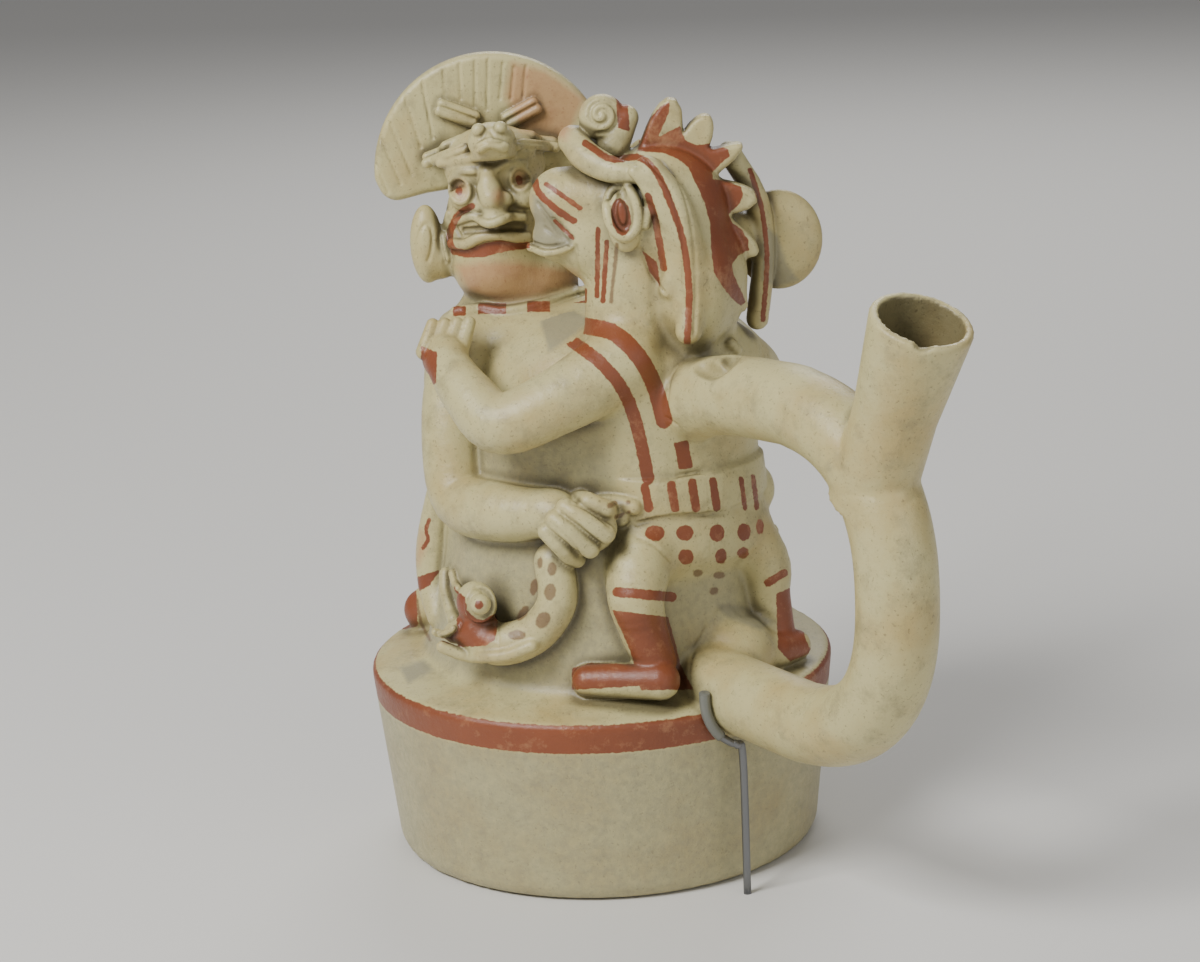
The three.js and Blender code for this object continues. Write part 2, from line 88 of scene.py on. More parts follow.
def flowing(points: np.ndarray, count: int) -> np.ndarray:
    """Rows on a Catmull-Rom curve through the given rows, equal parameter steps.

    Args:
        points: the rows the curve passes, any number of columns.
        count: how many rows to return.

    Returns:
        The rows of the curve, both ends included.
    """
    p = np.asarray(points, float)
    p = np.vstack([2 * p[0] - p[1], p, 2 * p[-1] - p[-2]])
    t = np.linspace(0, len(p) - 3, count)
    i = np.minimum(t.astype(int), len(p) - 4)
    s = (t - i)[:, None]
    a, b, c, d = p[i], p[i + 1], p[i + 2], p[i + 3]
    cubic = (3 * b - a - 3 * c + d) * s**3 + (2 * a - 5 * b + 4 * c - d) * s**2
    return b + 0.5 * (cubic + (c - a) * s)


def soft_min(a: np.ndarray, b: np.ndarray, k: float) -> np.ndarray:
    """The lesser of two fields, rounded where they meet: mix(b, a, h) - k h (1 - h), h = 1/2 + (b - a) / 2k.

    Args:
        a: one field.
        b: the other.
        k: the width of the rounding in mm, or 0 for a sharp corner.

    Returns:
        The joined field.
    """
    if k <= 0:
        return np.minimum(a, b)
    h = np.clip(0.5 + 0.5 * (b - a) / k, 0, 1)
    return b + (a - b) * h - k * h * (1 - h)


@dataclass
class Shape:
    """A closed form with its box and its signed distance."""

    def box(self) -> tuple[np.ndarray, np.ndarray]:
        """Returns the lowest and highest corner."""
        raise NotImplementedError

    def distance(self, x: np.ndarray, y: np.ndarray, z: np.ndarray) -> np.ndarray:
        """Returns the signed distance, clay negative."""
        raise NotImplementedError


@dataclass
class Egg(Shape):
    """An ellipsoid: turn is its heading about Z in degrees."""

    middle: tuple
    semi: tuple
    turn: float = 0.0

    def box(self) -> tuple[np.ndarray, np.ndarray]:
        """Returns the lowest and highest corner."""
        m, r = np.array(self.middle), max(self.semi)
        return m - r, m + r

    def distance(self, x: np.ndarray, y: np.ndarray, z: np.ndarray) -> np.ndarray:
        """Returns the signed distance."""
        c, s = turning(self.turn)
        dx, dy, dz = x - self.middle[0], y - self.middle[1], z - self.middle[2]
        return oval_gap(*zip((dx * c + dy * s, dy * c - dx * s, dz), self.semi))


@dataclass
class Limb(Shape):
    """A round-ended form along a curve: least over its segments of distance minus the radius there."""

    joints: Points
    radii: tuple
    steps: int = 10

    def __post_init__(self) -> None:
        """Works out the rows of centre and radius."""
        radii = np.interp(np.linspace(0, 1, len(self.joints)), np.linspace(0, 1, len(self.radii)), self.radii)
        rows = np.column_stack([np.asarray(self.joints, float), radii])
        self.rows = flowing(rows, self.steps) if len(rows) > 2 else rows

    def box(self) -> tuple[np.ndarray, np.ndarray]:
        """Returns the lowest and highest corner."""
        p, r = self.rows[:, :3], self.rows[:, 3:]
        return (p - r).min(0), (p + r).max(0)

    def distance(self, x: np.ndarray, y: np.ndarray, z: np.ndarray) -> np.ndarray:
        """Returns the signed distance."""
        least = None
        for a, b in zip(self.rows[:-1], self.rows[1:]):
            ab = (b - a)[:3]
            dx, dy, dz = x - a[0], y - a[1], z - a[2]
            t = np.clip((dx * ab[0] + dy * ab[1] + dz * ab[2]) / max(ab @ ab, 1e-9), 0, 1)
            gap = np.sqrt((dx - t * ab[0]) ** 2 + (dy - t * ab[1]) ** 2 + (dz - t * ab[2]) ** 2)
            gap = gap - (a[3] + t * (b[3] - a[3]))
            least = gap if least is None else np.minimum(least, gap)
        return least


@dataclass
class Trunk(Shape):
    """A body from level sections (height, middle X, middle Y, half depth, half width), all smoothed.

    The ellipse's distance in a level plane is eased by the slope of the wall.
    """

    sections: Points
    inset: float = 0.0
    least: float = 0.4
    steepest: float = 2.5

    def __post_init__(self) -> None:
        """Works out the smoothed sections."""
        rows = flowing(np.array(self.sections, float), 8 * len(self.sections))
        rows[:, 3:] = np.maximum(rows[:, 3:] - self.inset, self.least)
        self.rows = rows
        slope = np.gradient(rows[:, 3:].mean(1), rows[:, 0])
        self.ease = 1 / np.sqrt(1 + np.clip(slope, -self.steepest, self.steepest) ** 2)

    def box(self) -> tuple[np.ndarray, np.ndarray]:
        """Returns the lowest and highest corner."""
        h, mx, my, a, b = self.rows.T
        low = (mx - a).min(), (my - b).min(), h.min() + DRUM_HEIGHT
        high = (mx + a).max(), (my + b).max(), h.max() + DRUM_HEIGHT
        return np.array(low), np.array(high)

    def distance(self, x: np.ndarray, y: np.ndarray, z: np.ndarray) -> np.ndarray:
        """Returns the signed distance."""
        level = z - DRUM_HEIGHT
        mx, my, a, b = (np.interp(level, self.rows[:, 0], self.rows[:, i]) for i in (1, 2, 3, 4))
        ease = np.interp(level, self.rows[:, 0], self.ease)
        side = oval_gap((x - mx, a), (y - my, b)) * ease
        ends = np.maximum(self.rows[0, 0] + self.inset - level, level - self.rows[-1, 0] + self.inset)
        return np.maximum(side, ends)


@dataclass
class Turned(Shape):
    """A turned form: the signed distance to its closed (radius, height) profile.

    root and lean place its axis: it starts at root and leans that many degrees towards +X.
    """

    profile: Points
    root: tuple = (0.0, 0.0, 0.0)
    lean: float = 0.0

    def box(self) -> tuple[np.ndarray, np.ndarray]:
        """Returns the lowest and highest corner."""
        p = np.array(self.profile)
        c, s = turning(self.lean)
        r = p[:, 0].max()
        ends = [np.array(self.root) + h * np.array([s, 0, c]) for h in (p[:, 1].min(), p[:, 1].max())]
        grow = np.array([r * c, r, r * s])
        return np.minimum(*ends) - grow, np.maximum(*ends) + grow

    def distance(self, x: np.ndarray, y: np.ndarray, z: np.ndarray) -> np.ndarray:
        """Returns the signed distance."""
        c, s = turning(self.lean)
        dx, dz = x - self.root[0], z - self.root[2]
        h = dz * c + dx * s
        r = np.sqrt((dx * c - dz * s) ** 2 + (y - self.root[1]) ** 2)
        return polygon_distance(r, h, self.profile)


def polygon_distance(x: np.ndarray, y: np.ndarray, corners: Points) -> np.ndarray:
    """The signed distance to a closed polygon: least edge distance, negative by the even-odd rule.

    Args:
        x: first coordinates.
        y: second coordinates.
        corners: the polygon's corners in order.

    Returns:
        Distances, negative inside.
    """
    least, inside = None, None
    for (ax, ay), (bx, by) in zip(corners, corners[1:] + corners[:1]):
        ex, ey = bx - ax, by - ay
        dx, dy = x - ax, y - ay
        t = np.clip((dx * ex + dy * ey) / max(ex * ex + ey * ey, 1e-12), 0, 1)
        gap = (dx - t * ex) ** 2 + (dy - t * ey) ** 2
        crosses = ((ay > y) != (by > y)) & (dx < ex * dy / (ey if ey else 1e-12))
        least = gap if least is None else np.minimum(least, gap)
        inside = crosses if inside is None else inside ^ crosses
    return np.where(inside, -1, 1) * np.sqrt(least)


@dataclass
class Plate(Shape):
    """A flat plate with rounded edges: its outline's distance and half thickness, joined at the edge.

    The outline lies in an upright plane through middle. heading turns the outline's first axis from +X.
    """

    middle: tuple
    heading: float
    outline: Points
    thickness: float
    rounding: float = 1.5
    corner: float = 0.0

    def box(self) -> tuple[np.ndarray, np.ndarray]:
        """Returns the lowest and highest corner."""
        r = np.abs(np.array(self.outline)).max() + self.thickness + self.corner
        return np.array(self.middle) - r, np.array(self.middle) + r

    def distance(self, x: np.ndarray, y: np.ndarray, z: np.ndarray) -> np.ndarray:
        """Returns the signed distance."""
        c, s = turning(self.heading)
        dx, dy = x - self.middle[0], y - self.middle[1]
        across, off = dx * c + dy * s, dy * c - dx * s
        flat = polygon_distance(across, z - self.middle[2], self.outline) + self.rounding - self.corner
        thick = np.abs(off) - self.thickness / 2 + self.rounding
        corner = np.sqrt(np.maximum(flat, 0) ** 2 + np.maximum(thick, 0) ** 2)
        return np.minimum(np.maximum(flat, thick), 0) + corner - self.rounding


class Work(Enum):
    """What a step of the modelling does to the clay."""

    ADD = "add"
    TAKE = "take"


@dataclass
class Step:
    """One step of the modelling: a shape is added or taken away, with a fillet of that width."""

    shape: Shape
    fillet: float = 2.0
    work: Work = Work.ADD


@dataclass
class Clay:
    """A block of the field: its lowest corner, its grid step and its signed distances."""

    low: np.ndarray
    high: np.ndarray
    step: float

    def __post_init__(self) -> None:
        """Lays out the grid, all of it air."""
        self.count = np.ceil((self.high - self.low) / self.step).astype(int) + 1
        self.axes = [self.low[i] + self.step * np.arange(self.count[i]) for i in range(3)]
        self.values = np.full(self.count, FAR, np.float32)

    def window(self, low: np.ndarray, high: np.ndarray) -> tuple | None:
        """The part of the grid inside a box.

        Args:
            low: the box's lowest corner.
            high: its highest corner.

        Returns:
            The slices and the three open coordinate arrays, or None where they don't meet.
        """
        first = np.maximum(np.floor((low - self.low) / self.step).astype(int), 0)
        last = np.minimum(np.ceil((high - self.low) / self.step).astype(int) + 1, self.count)
        if (last - first < 1).any():
            return None
        cut = tuple(slice(a, b) for a, b in zip(first, last))
        x, y, z = (self.axes[i][cut[i]].astype(np.float32) for i in range(3))
        return cut, x[:, None, None], y[None, :, None], z[None, None, :]

    def work(self, steps: list[Step]) -> None:
        """Carries out the steps in order, each inside its own box."""
        for step in steps:
            low, high = step.shape.box()
            grow = step.fillet + 3 * self.step
            found = self.window(low - grow, high + grow)
            if found is None:
                continue
            cut, x, y, z = found
            part, gap = self.values[cut], step.shape.distance(x, y, z).astype(np.float32)
            if step.work is Work.ADD:
                self.values[cut] = soft_min(part, gap, step.fillet)
            else:
                self.values[cut] = -soft_min(-part, gap, step.fillet)

    def sample(self, points: np.ndarray) -> np.ndarray:
        """The field at points, by the eight grid values round each.

        Args:
            points: one row for each point.

        Returns:
            One signed distance for each point.
        """
        f = (points - self.low) / self.step
        f = np.clip(f, 0, np.array(self.count) - 1.001)
        i = f.astype(int)
        t = f - i
        total = np.zeros(len(points))
        for corner in range(8):
            o = np.array([corner & 1, corner >> 1 & 1, corner >> 2 & 1])
            w = np.prod(np.where(o, t, 1 - t), axis=1)
            j = i + o
            total += w * self.values[j[:, 0], j[:, 1], j[:, 2]]
        return total

    def slope(self, points: np.ndarray) -> np.ndarray:
        """The outward unit direction at points, by central differences of the field."""
        reach = np.eye(3) * self.step * 0.75
        out = np.stack([self.sample(points + o) - self.sample(points - o) for o in reach], axis=1)
        return out / np.maximum(np.linalg.norm(out, axis=1, keepdims=True), 1e-9)


@dataclass
class Lens:
    """The place the vessel is seen from, so that a drawn line can be named by where it shows.

    The picture is 1200 x 962. A point shows at focal * (right, down) / depth from its middle.
    """

    place: np.ndarray = field(default_factory=lambda: np.array([806.25, -562.19, 383.16]))
    target: np.ndarray = field(default_factory=lambda: np.array([1.107, 1.581, 115.7]))
    roll: float = -0.0451275
    focal: float = 3202.42
    middle: tuple = (600.0, 481.0)
    lens_mm: float = 96.07
    nearest: float = 860.0
    furthest: float = 1140.0
    stride: float = 0.7

    def __post_init__(self) -> None:
        """Works out the three axes of the view."""
        ahead = self.target - self.place
        self.ahead = ahead / np.linalg.norm(ahead)
        right = np.cross(self.ahead, [0, 0, 1])
        right /= np.linalg.norm(right)
        up = np.cross(right, self.ahead)
        c, s = math.cos(self.roll), math.sin(self.roll)
        self.right, self.up = c * right + s * up, c * up - s * right

    def spot(self, points: np.ndarray) -> tuple[np.ndarray, np.ndarray, np.ndarray]:
        """Where points show: across, down and depth."""
        v = points - self.place
        depth = v @ self.ahead
        return (
            self.middle[0] + self.focal * (v @ self.right) / depth,
            self.middle[1] - self.focal * (v @ self.up) / depth,
            depth,
        )

    def touch(self, clay: Clay, spots: Points) -> np.ndarray:
        """The first clay met behind each spot of the picture, or the nearest miss.

        Args:
            clay: the field that is looked at.
            spots: (across, down) pairs.

        Returns:
            One point of the surface for each spot.
        """
        s = np.asarray(spots, float)
        ray = self.ahead + np.outer((s[:, 0] - self.middle[0]) / self.focal, self.right)
        ray = ray - np.outer((s[:, 1] - self.middle[1]) / self.focal, self.up)
        reach = np.arange(self.nearest, self.furthest, self.stride)
        path = self.place + reach[None, :, None] * ray[:, None, :]
        seen = clay.sample(path.reshape(-1, 3)).reshape(len(s), -1)
        hit = seen < 0
        first = np.where(hit.any(1), hit.argmax(1), seen.argmin(1))
        row = np.arange(len(s))
        a, b = seen[row, np.maximum(first - 1, 0)], seen[row, first]
        back = np.where(hit.any(1), np.clip(b / np.minimum(b - a, -1e-6), 0, 1), 0)
        depth = reach[first] - self.stride * back
        return self.place + depth[:, None] * ray


LENS = Lens()


class Twin(Enum):
    """Where a mark's copy on the unseen side lies."""

    NONE = "none"
    BODY = "body"
    HEAD = "head"


FAR_SIDE = 0.84
REAR_FACING, REAR_HEAD = -35.0, at(-25, -15, 134.5)
FRONT_FACING, FRONT_HEAD = -125.0, at(38, 2, 147)


def on_head(head: tuple, facing: float, front: float, left: float, up: float) -> tuple:
    """A point of a head, from distances along the head's own axes.

    Args:
        head: the head's middle.
        facing: the heading that it faces, in degrees from +X.
        front: how far ahead of the middle.
        left: how far to its left.
        up: how far above.

    Returns:
        The point.
    """
    c, s = turning(facing)
    return (head[0] + front * c - left * s, head[1] + front * s + left * c, head[2] + up)


def mirrored(points: np.ndarray, twin: Twin) -> np.ndarray:
    """The copy of points on the unseen side: over the body's middle plane, or over the turned head's.

    The body's far side leans inwards, so its copy is drawn in by a fixed share.

    Args:
        points: the points of the seen side.
        twin: which plane to copy them over.

    Returns:
        The copies, or the points themselves for no twin.
    """
    p = np.array(points, float)
    if twin is Twin.BODY:
        p[:, 1] *= -FAR_SIDE
    elif twin is Twin.HEAD:
        c, s = turning(FRONT_FACING)
        side = np.array([-s, c, 0])
        p -= 2 * np.outer((p - FRONT_HEAD) @ side, side)
    return p


def unmirrored(points: np.ndarray, twin: Twin) -> np.ndarray:
    """The points of the seen side whose copies lie at the given points.

    Args:
        points: points of the unseen side.
        twin: the plane they were copied over.

    Returns:
        The points that mirrored would take there.
    """
    if twin is Twin.HEAD:
        return mirrored(points, twin)
    p = points.copy()
    p[:, 1] /= -FAR_SIDE
    return p


@dataclass
class Modelling:
    """The steps that build the clay up: drum, chamber, two figures, serpents and the stirrup."""

    drum_foot: float = 68.0
    drum_rim: float = 74.0
    drum_crown: float = 4.5
    drum_wall: float = 5.0
    drum_floor: float = 6.0
    wall: float = 5.5
    neck_bore: float = 8.0
    tube: float = 12.0
    tube_wall: float = 3.6
    ring_middle: tuple = (98.0, 110.25)
    ring_half: tuple = (49.0, 48.25)
    ring_square: float = 2.4
    spout_root: tuple = (135.6, 0.0, 135.7)
    spout_lean: float = 23.0
    spout_length: float = 62.0
    spout_mouth: float = 14.8
    mouth_wall: float = 2.6
    chip: tuple = (170.4, -8.7, 190)
    fan_radius: float = 31.5
    fan_shift: float = 2.5
    fan_corner: float = 6.0
    crest_root: float = 15.0
    crest_bluntness: float = 0.85
    valleys: tuple = ((72, 20), (108.5, 25.5), (129, 25), (149, 19.5), (184, 21.5), (213, 25.5), (237, 31))
    tips: tuple = ((0.72, 35), (0.5, 33), (0.68, 32.5), (0.7, 30), (0.72, 32.5), (0.75, 40))

    def drum_profile(self, inset: float, low: float) -> Points:
        """The drum's half profile: rounded foot, flaring wall, soft rim and a crown that rises as sin^0.7.

        Args:
            inset: how far in from the outside it lies.
            low: the height of its lowest face.

        Returns:
            Its (radius, height) corners.
        """
        foot, rim, top = self.drum_foot - inset, self.drum_rim - inset, DRUM_HEIGHT - inset
        outer = [(0, low), (foot - 4, low), (foot - 1.2, low + 1.2), (foot, low + 4)]
        outer += [(rim, top - 1.6), (rim - 1.6, top)]
        rise = [self.drum_crown * math.sin(math.pi / 2 * min(1, i / 4)) ** 0.7 for i in range(1, 7)]
        return outer + [(rim * (1 - i / 6), top + up) for i, up in enumerate(rise, 1)]

    def masses(self) -> list[Step]:
        """Returns the steps for the drum and the bodies."""
        chamber = [
            (-4, 0, 0, 58, 56), (6, 0, 0, 57, 55), (20, 1, 0, 55, 52), (38, 2, 0, 52, 48), (58, 3, 0, 48, 44),
            (78, 4, 0, 46, 41), (96, 4, 0, 42, 37), (107, 4, 0, 34, 29), (113, 4, 0, 20, 16),
            (116, 4, 0, 4, 3),
        ]
        rear = [
            (16, -20, 0, 26, 38), (50, -21, 0, 27, 41), (70, -23, 0, 25, 42), (90, -24, -2, 23, 42),
            (102, -23, -4, 20, 37), (110, -21, -6, 15, 27), (117, -19, -8, 5, 9),
        ]
        front = [
            (33, 38, 5, 10, 20), (42, 40, 5, 19, 30), (57, 41, 5, 17.5, 28), (70, 41, 5, 16, 27),
            (88, 41, 4, 15.5, 28), (101, 41, 3, 14, 30), (109, 40, 2, 10, 24), (116, 38, 1, 4, 8),
        ]
        self.chamber = Trunk(chamber)
        belt = Trunk([(57.5, 41, 5, 18.6, 29.1), (63.5, 41, 5, 18.4, 28.9), (69.5, 41, 5, 17.6, 28.4)])
        return [
            Step(Turned(self.drum_profile(0, 0.0)), 0),
            Step(self.chamber, 5),
            Step(Trunk(rear), 6),
            Step(Trunk(front), 5),
            Step(belt, 0.8),
        ]

    def limbs(self) -> list[Step]:
        """Returns the steps for arms, legs, feet and hands on both sides."""
        rear_arm = [at(-19.5, -32.5, 103), at(-14, -42.5, 82), at(-6, -46.5, 59), at(16, -46, 58),
                    at(35, -39, 60)]
        front_arm = [at(42, -17, 104), at(37, -38, 95), at(27, -52, 89), at(13, -54, 96), at(-1, -52, 103)]
        near_leg = [at(44, -12, 50), at(54, -24, 37), at(55, -23, 26), at(57, -20, 14)]
        far_leg = [at(44, 19, 50), at(49, 28, 34), at(50, 29, 24), at(52, 30, 12)]
        steps = []
        for twin in (Twin.NONE, Twin.BODY):
            for arm, radii in ((rear_arm, (11, 10, 9.5, 9, 7)), (front_arm, (12, 10, 9.2, 8, 6.5))):
                steps.append(Step(Limb(mirrored(arm, twin), radii, 22), 2.5))
        steps += [Step(Limb(leg, (11, 9, 7.5, 6.5), 14), 2.5) for leg in (near_leg, far_leg)]
        for heel, toe in ((at(62, -22, 9.5), at(44.5, -36.5, 8.5)), (at(57, 26, 7), at(55, 36, 6))):
            steps.append(Step(Limb([heel, toe], (6, 5)), 1.2))
        for side in (-1, 1):
            steps.append(Step(Limb([at(-40, side * 26, 16), at(-53, side * 33, 8)], (10, 7)), 4))
        steps.append(Step(Limb([at(33, -40, 60), at(40, -38, 57)], (7, 6.5)), 2))
        steps.append(Step(Egg(at(43, -35.5, 56.5), (5, 11, 8.5), -41), 1.5))
        for twin in (Twin.NONE, Twin.BODY):
            back_of_hand = mirrored([at(-5, -50, 103.5)], twin)[0]
            steps.append(Step(Egg(tuple(back_of_hand), (8.5, 6.5, 7.5)), 2))
            for off in (-5.6, -1.8, 2.0, 5.8):
                tip = 113.5 if twin is Twin.NONE else 110
                finger = [at(-5 + 0.57 * off, -51 + 0.82 * off, 106),
                          at(-7 + 0.57 * off, -46 + 0.82 * off, tip)]
                steps.append(Step(Limb(mirrored(finger, twin), (2.5, 2.0)), 0.7))
        steps.append(Step(Egg(at(43, 31, 56), (7, 6, 8)), 1.5))
        steps.append(Step(Egg(at(54, 12, 9), (13, 13, 12)), 4))
        return steps

    def serpents(self) -> list[Step]:
        """Returns the belt's serpents: neck, brow, jaw and the ringed ball of the eye."""
        spine = [at(34, -40, 45), at(37, -41.5, 33), at(32, -47, 23), at(23, -54, 19), at(14, -57, 22)]
        second = [at(-22, -39, 70), at(-27, -41, 52), at(-29.5, -42, 36), at(-28, -43.5, 24),
                  at(-22, -47, 16)]
        steps = []
        for twin in (Twin.NONE, Twin.BODY):
            brow, eye = mirrored([at(16, -57, 31), at(20, -60, 33)], twin)
            steps.append(Step(Limb(mirrored(spine, twin), (6, 6, 6.2, 6.6, 6.4), 18), 1.2))
            steps.append(Step(Limb(mirrored(second, twin), (4, 5, 6.5, 6, 4), 16), 1.5))
            steps.append(Step(Egg(tuple(brow), (7.5, 5.5, 7)), 1.5))
            steps.append(Step(Limb(mirrored([at(16, -57, 23), at(9, -61, 21)], twin), (6, 3.5)), 1.0))
            steps.append(Step(Egg(tuple(eye), (3.9, 3.0, 3.9)), 0.4))
        return steps

    def rear_head(self) -> list[Step]:
        """Returns the rear figure's head with collar, ear discs, fan and the head ornament with its paws."""

        def place(front: float, left: float, up: float) -> tuple:
            """Returns a spot given from the head's middle, towards its face, its left and up."""
            return on_head(REAR_HEAD, REAR_FACING, front, left, up)

        turn = REAR_FACING
        steps = [
            Step(Egg(place(8, 5, -34), (18, 27, 12), turn), 6),
            Step(Egg(place(1, 6, -23), (14, 19, 12), turn), 5),
            Step(Egg(place(3, 3, -26.5), (17, 23, 5.5), turn), 2.5),
            Step(Egg(place(1, 8, -13), (14, 16, 11), turn), 4),
            Step(Egg(place(0, 0, 2), (17, 16.5, 24), turn), 3),
            Step(Egg(place(2, 0, 23), (13, 16, 12), turn), 3),
            Step(Egg(place(5, 0, -9), (13, 14.5, 12), turn), 3),
            Step(Limb([place(14.5, 0, 16), place(17.5, 0, 9)], (2.2, 4)), 2),
            Step(self.fan(), 2.5),
            Step(Egg(place(15.5, 0, 32), (7, 7.5, 6), turn), 1),
        ]
        for side in (-1, 1):
            steps.append(Step(Egg(place(12.5, side * 9, 14), (4, 5, 4), turn), 1.5))
            steps.append(Step(Egg(place(3, side * 22.5, -1.5), (5.5, 5.2, 12.5), turn), 1.0))
            steps.append(Step(Egg(place(2, side * 18, -6), (5, 5, 7), turn), 2.5))
        return steps

    def fan(self) -> Plate:
        """Returns the upright fan: more than half a disc, with a round lobe where it ends at the ear."""
        r, turns = self.fan_radius, np.radians(np.linspace(-6, 180, 40))
        arc = [(self.fan_shift + r * math.cos(t), r * math.sin(t)) for t in turns]
        outline = arc + [(-28.0, -2.3), (-20.0, -0.5), (0.0, 2.0), (22.0, -2.0)]
        return Plate(at(-40, -9, 152.5), REAR_FACING + 90, outline, 7, 2.2, self.fan_corner)

    def front_head(self) -> list[Step]:
        """Returns the front figure's head with muzzle, neck, hair, flap, scroll, ears and crest."""

        def place(front: float, left: float, up: float) -> tuple:
            """Returns a spot given from the head's middle, towards its face, its left and up."""
            return on_head(FRONT_HEAD, FRONT_FACING, front, left, up)

        turn = FRONT_FACING
        steps = [
            Step(Limb([at(34, -8, 105), place(8, 0, -15)], (14, 15)), 5),
            Step(Egg(place(0, 0, 0), (21, 19, 21), turn), 3),
            Step(Egg(place(17, 0, -5), (16, 12.5, 16), turn), 3),
            Step(Limb([place(14, 0, 4), place(29, 0, 5)], (12, 10)), 2),
            Step(Limb([place(12, 0, -9), place(31, 0, -6)], (9, 7.5)), 2.5),
            Step(Egg(place(-13, 0, -20), (13, 14, 21), turn), 2.5),
            Step(Egg(place(-9, 9, -20), (12, 11, 22), turn), 3),
            Step(Limb([place(-22, -7, 16), place(-30, -8, 1), place(-31.5, -8, -16),
                       place(-29, -8, -36)], (3.5,)), 1),
            Step(self.crest(), 1.2),
            Step(Egg(place(-36.5, -13, -12.5), (13.5, 5, 15.5), turn), 1),
            Step(Limb([place(-14, -5, -6), place(-28, -11, -11)], (9, 6)), 2),
            Step(Egg(place(16, 0, 29.5), (7, 5.5, 7), turn), 1.2),
            Step(Limb([place(13, 0, 21), place(9, 0, 29)], (5, 4)), 1.0),
        ]
        for side in (-1, 1):
            band = [place(25, side * 1, 23), place(21, side * 8, 19), place(14, side * 14, 16),
                    place(7, side * 17, 15)]
            steps.append(Step(Limb(band, (4.4, 4.6, 4.0, 3.0), 14), 1.0))
            lock = [place(4, side * 16, 16), place(-5, side * 18, 2), place(-12, side * 15, -22)]
            steps.append(Step(Limb(lock, (3.6, 4.4, 2.4), 12), 0.8))
            steps.append(Step(Egg(place(10.5, side * 17, 1), (5.5, 3.6, 9.5), turn), 0.8))
        return steps

    def crest(self) -> Plate:
        """The crest: petals that rise between valleys as sin(pi s^p) ^ bluntness, p setting the tip's place.

        Returns:
            The plate. A valley is (degrees, reach) and a tip is (share of the way between valleys, reach).
        """
        outline = []
        for (a, low), (b, high), (peak, tip) in zip(self.valleys[:-1], self.valleys[1:], self.tips):
            for i in range(9):
                share = i / 9
                wave = math.sin(math.pi * share ** (math.log(0.5) / math.log(peak))) ** self.crest_bluntness
                base = low + (high - low) * share
                turn, reach = math.radians(a + (b - a) * share), base + (tip - base) * wave
                outline.append((reach * math.cos(turn), reach * math.sin(turn)))
        for turn in np.linspace(self.valleys[-1][0] - 1, self.valleys[0][0], 13):
            c, s = turning(turn)
            outline.append((self.crest_root * c, self.crest_root * s))
        return Plate(FRONT_HEAD, FRONT_FACING, outline, 7, 1.6)

    def stirrup_line(self) -> np.ndarray:
        """The stirrup's centre line: an arm from the back, a squared half ring and an arm to the drum."""
        turn = np.radians(90 - np.linspace(0, 180, 25))
        bend = [np.sign(v) * np.abs(v) ** (2 / self.ring_square) for v in (np.cos(turn), np.sin(turn))]
        x, z = (m + h * b for m, h, b in zip(self.ring_middle, self.ring_half, bend))
        ring = np.column_stack([x, 0 * turn, z])
        first = [(34, 0, 142.5), (66, 0, 155.2)]
        return flowing(np.vstack([first, ring, [(40, 0, 63)]]), 90)

    def stirrup(self) -> list[Step]:
        """Returns the steps for the stirrup's tube and the leaning spout."""
        length, mouth = self.spout_length, self.spout_mouth
        spout = [(0, 0), (self.tube, 0), (self.tube, length * 0.5), (mouth, length - 1),
                 (mouth - 0.8, length)]
        return [
            Step(Limb(self.stirrup_line(), (self.tube,), 90), 2.0),
            Step(Turned(spout + [(0, length)], self.spout_root, self.spout_lean), 0.6),
        ]

    def hollows(self) -> list[Step]:
        """Returns the steps that take out the drum, chamber, necks, stirrup and spout."""
        length, bore = self.spout_length, self.tube - self.tube_wall
        mouth, foot, above = self.spout_mouth - self.mouth_wall, self.tube_wall, length + 4
        spout = [(0, foot), (bore, foot), (bore, length * 0.5), (mouth, length), (mouth, above), (0, above)]
        neck = (self.neck_bore,)
        return [
            Step(Turned(self.drum_profile(self.drum_wall, self.drum_floor)), 0, Work.TAKE),
            Step(Trunk(self.chamber.sections, self.wall), 2, Work.TAKE),
            Step(Limb([at(-24, -8, 92), REAR_HEAD], neck), 2, Work.TAKE),
            Step(Limb([at(28, 0, 90), FRONT_HEAD], neck), 2, Work.TAKE),
            Step(Limb(self.stirrup_line(), (bore,), 90), 1, Work.TAKE),
            Step(Turned(spout, self.spout_root, self.spout_lean), 0.5, Work.TAKE),
            Step(Egg(self.chip, (3.2, 3.2, 3.4)), 0.4, Work.TAKE),
        ]


class Cut(Enum):
    """How a drawn line changes the clay."""

    RAISED = "raised"
    SCORED = "scored"


@dataclass
class Line:
    """A line drawn on the clay, named by where it shows; it is laid on the first clay met there."""

    spots: Points
    width: float
    cut: Cut
    twin: Twin
    lift: float = 0.0
    fillet: float = 0.6
    swing: float = 7.0

    def steps(self, clay: Clay) -> list[Step]:
        """The line as a thin round form along the clay, with its copy on the unseen side.

        Args:
            clay: the field it lies on.

        Returns:
            The steps that raise or score it.
        """
        spots = np.array(self.spots, float)
        if len(spots) > 2:
            spots = flowing(spots, 3 * len(spots))
        elif len(spots) == 2:
            spots = np.linspace(spots[0], spots[1], 6)
        points = LENS.touch(clay, spots)
        depth = (points - LENS.place) @ LENS.ahead
        middle = np.median(depth)
        held = np.clip(depth, middle - self.swing, middle + self.swing)
        points = LENS.place + (points - LENS.place) * (held / depth)[:, None]
        points = points + self.lift * clay.slope(points)
        work = Work.ADD if self.cut is Cut.RAISED else Work.TAKE
        rows = points if len(points) > 1 else np.vstack([points, points + 0.01])
        made = [rows] if self.twin is Twin.NONE else [rows, mirrored(rows, self.twin)]
        return [Step(Limb([tuple(q) for q in r], (self.width / 2,), len(r)), self.fillet, work) for r in made]


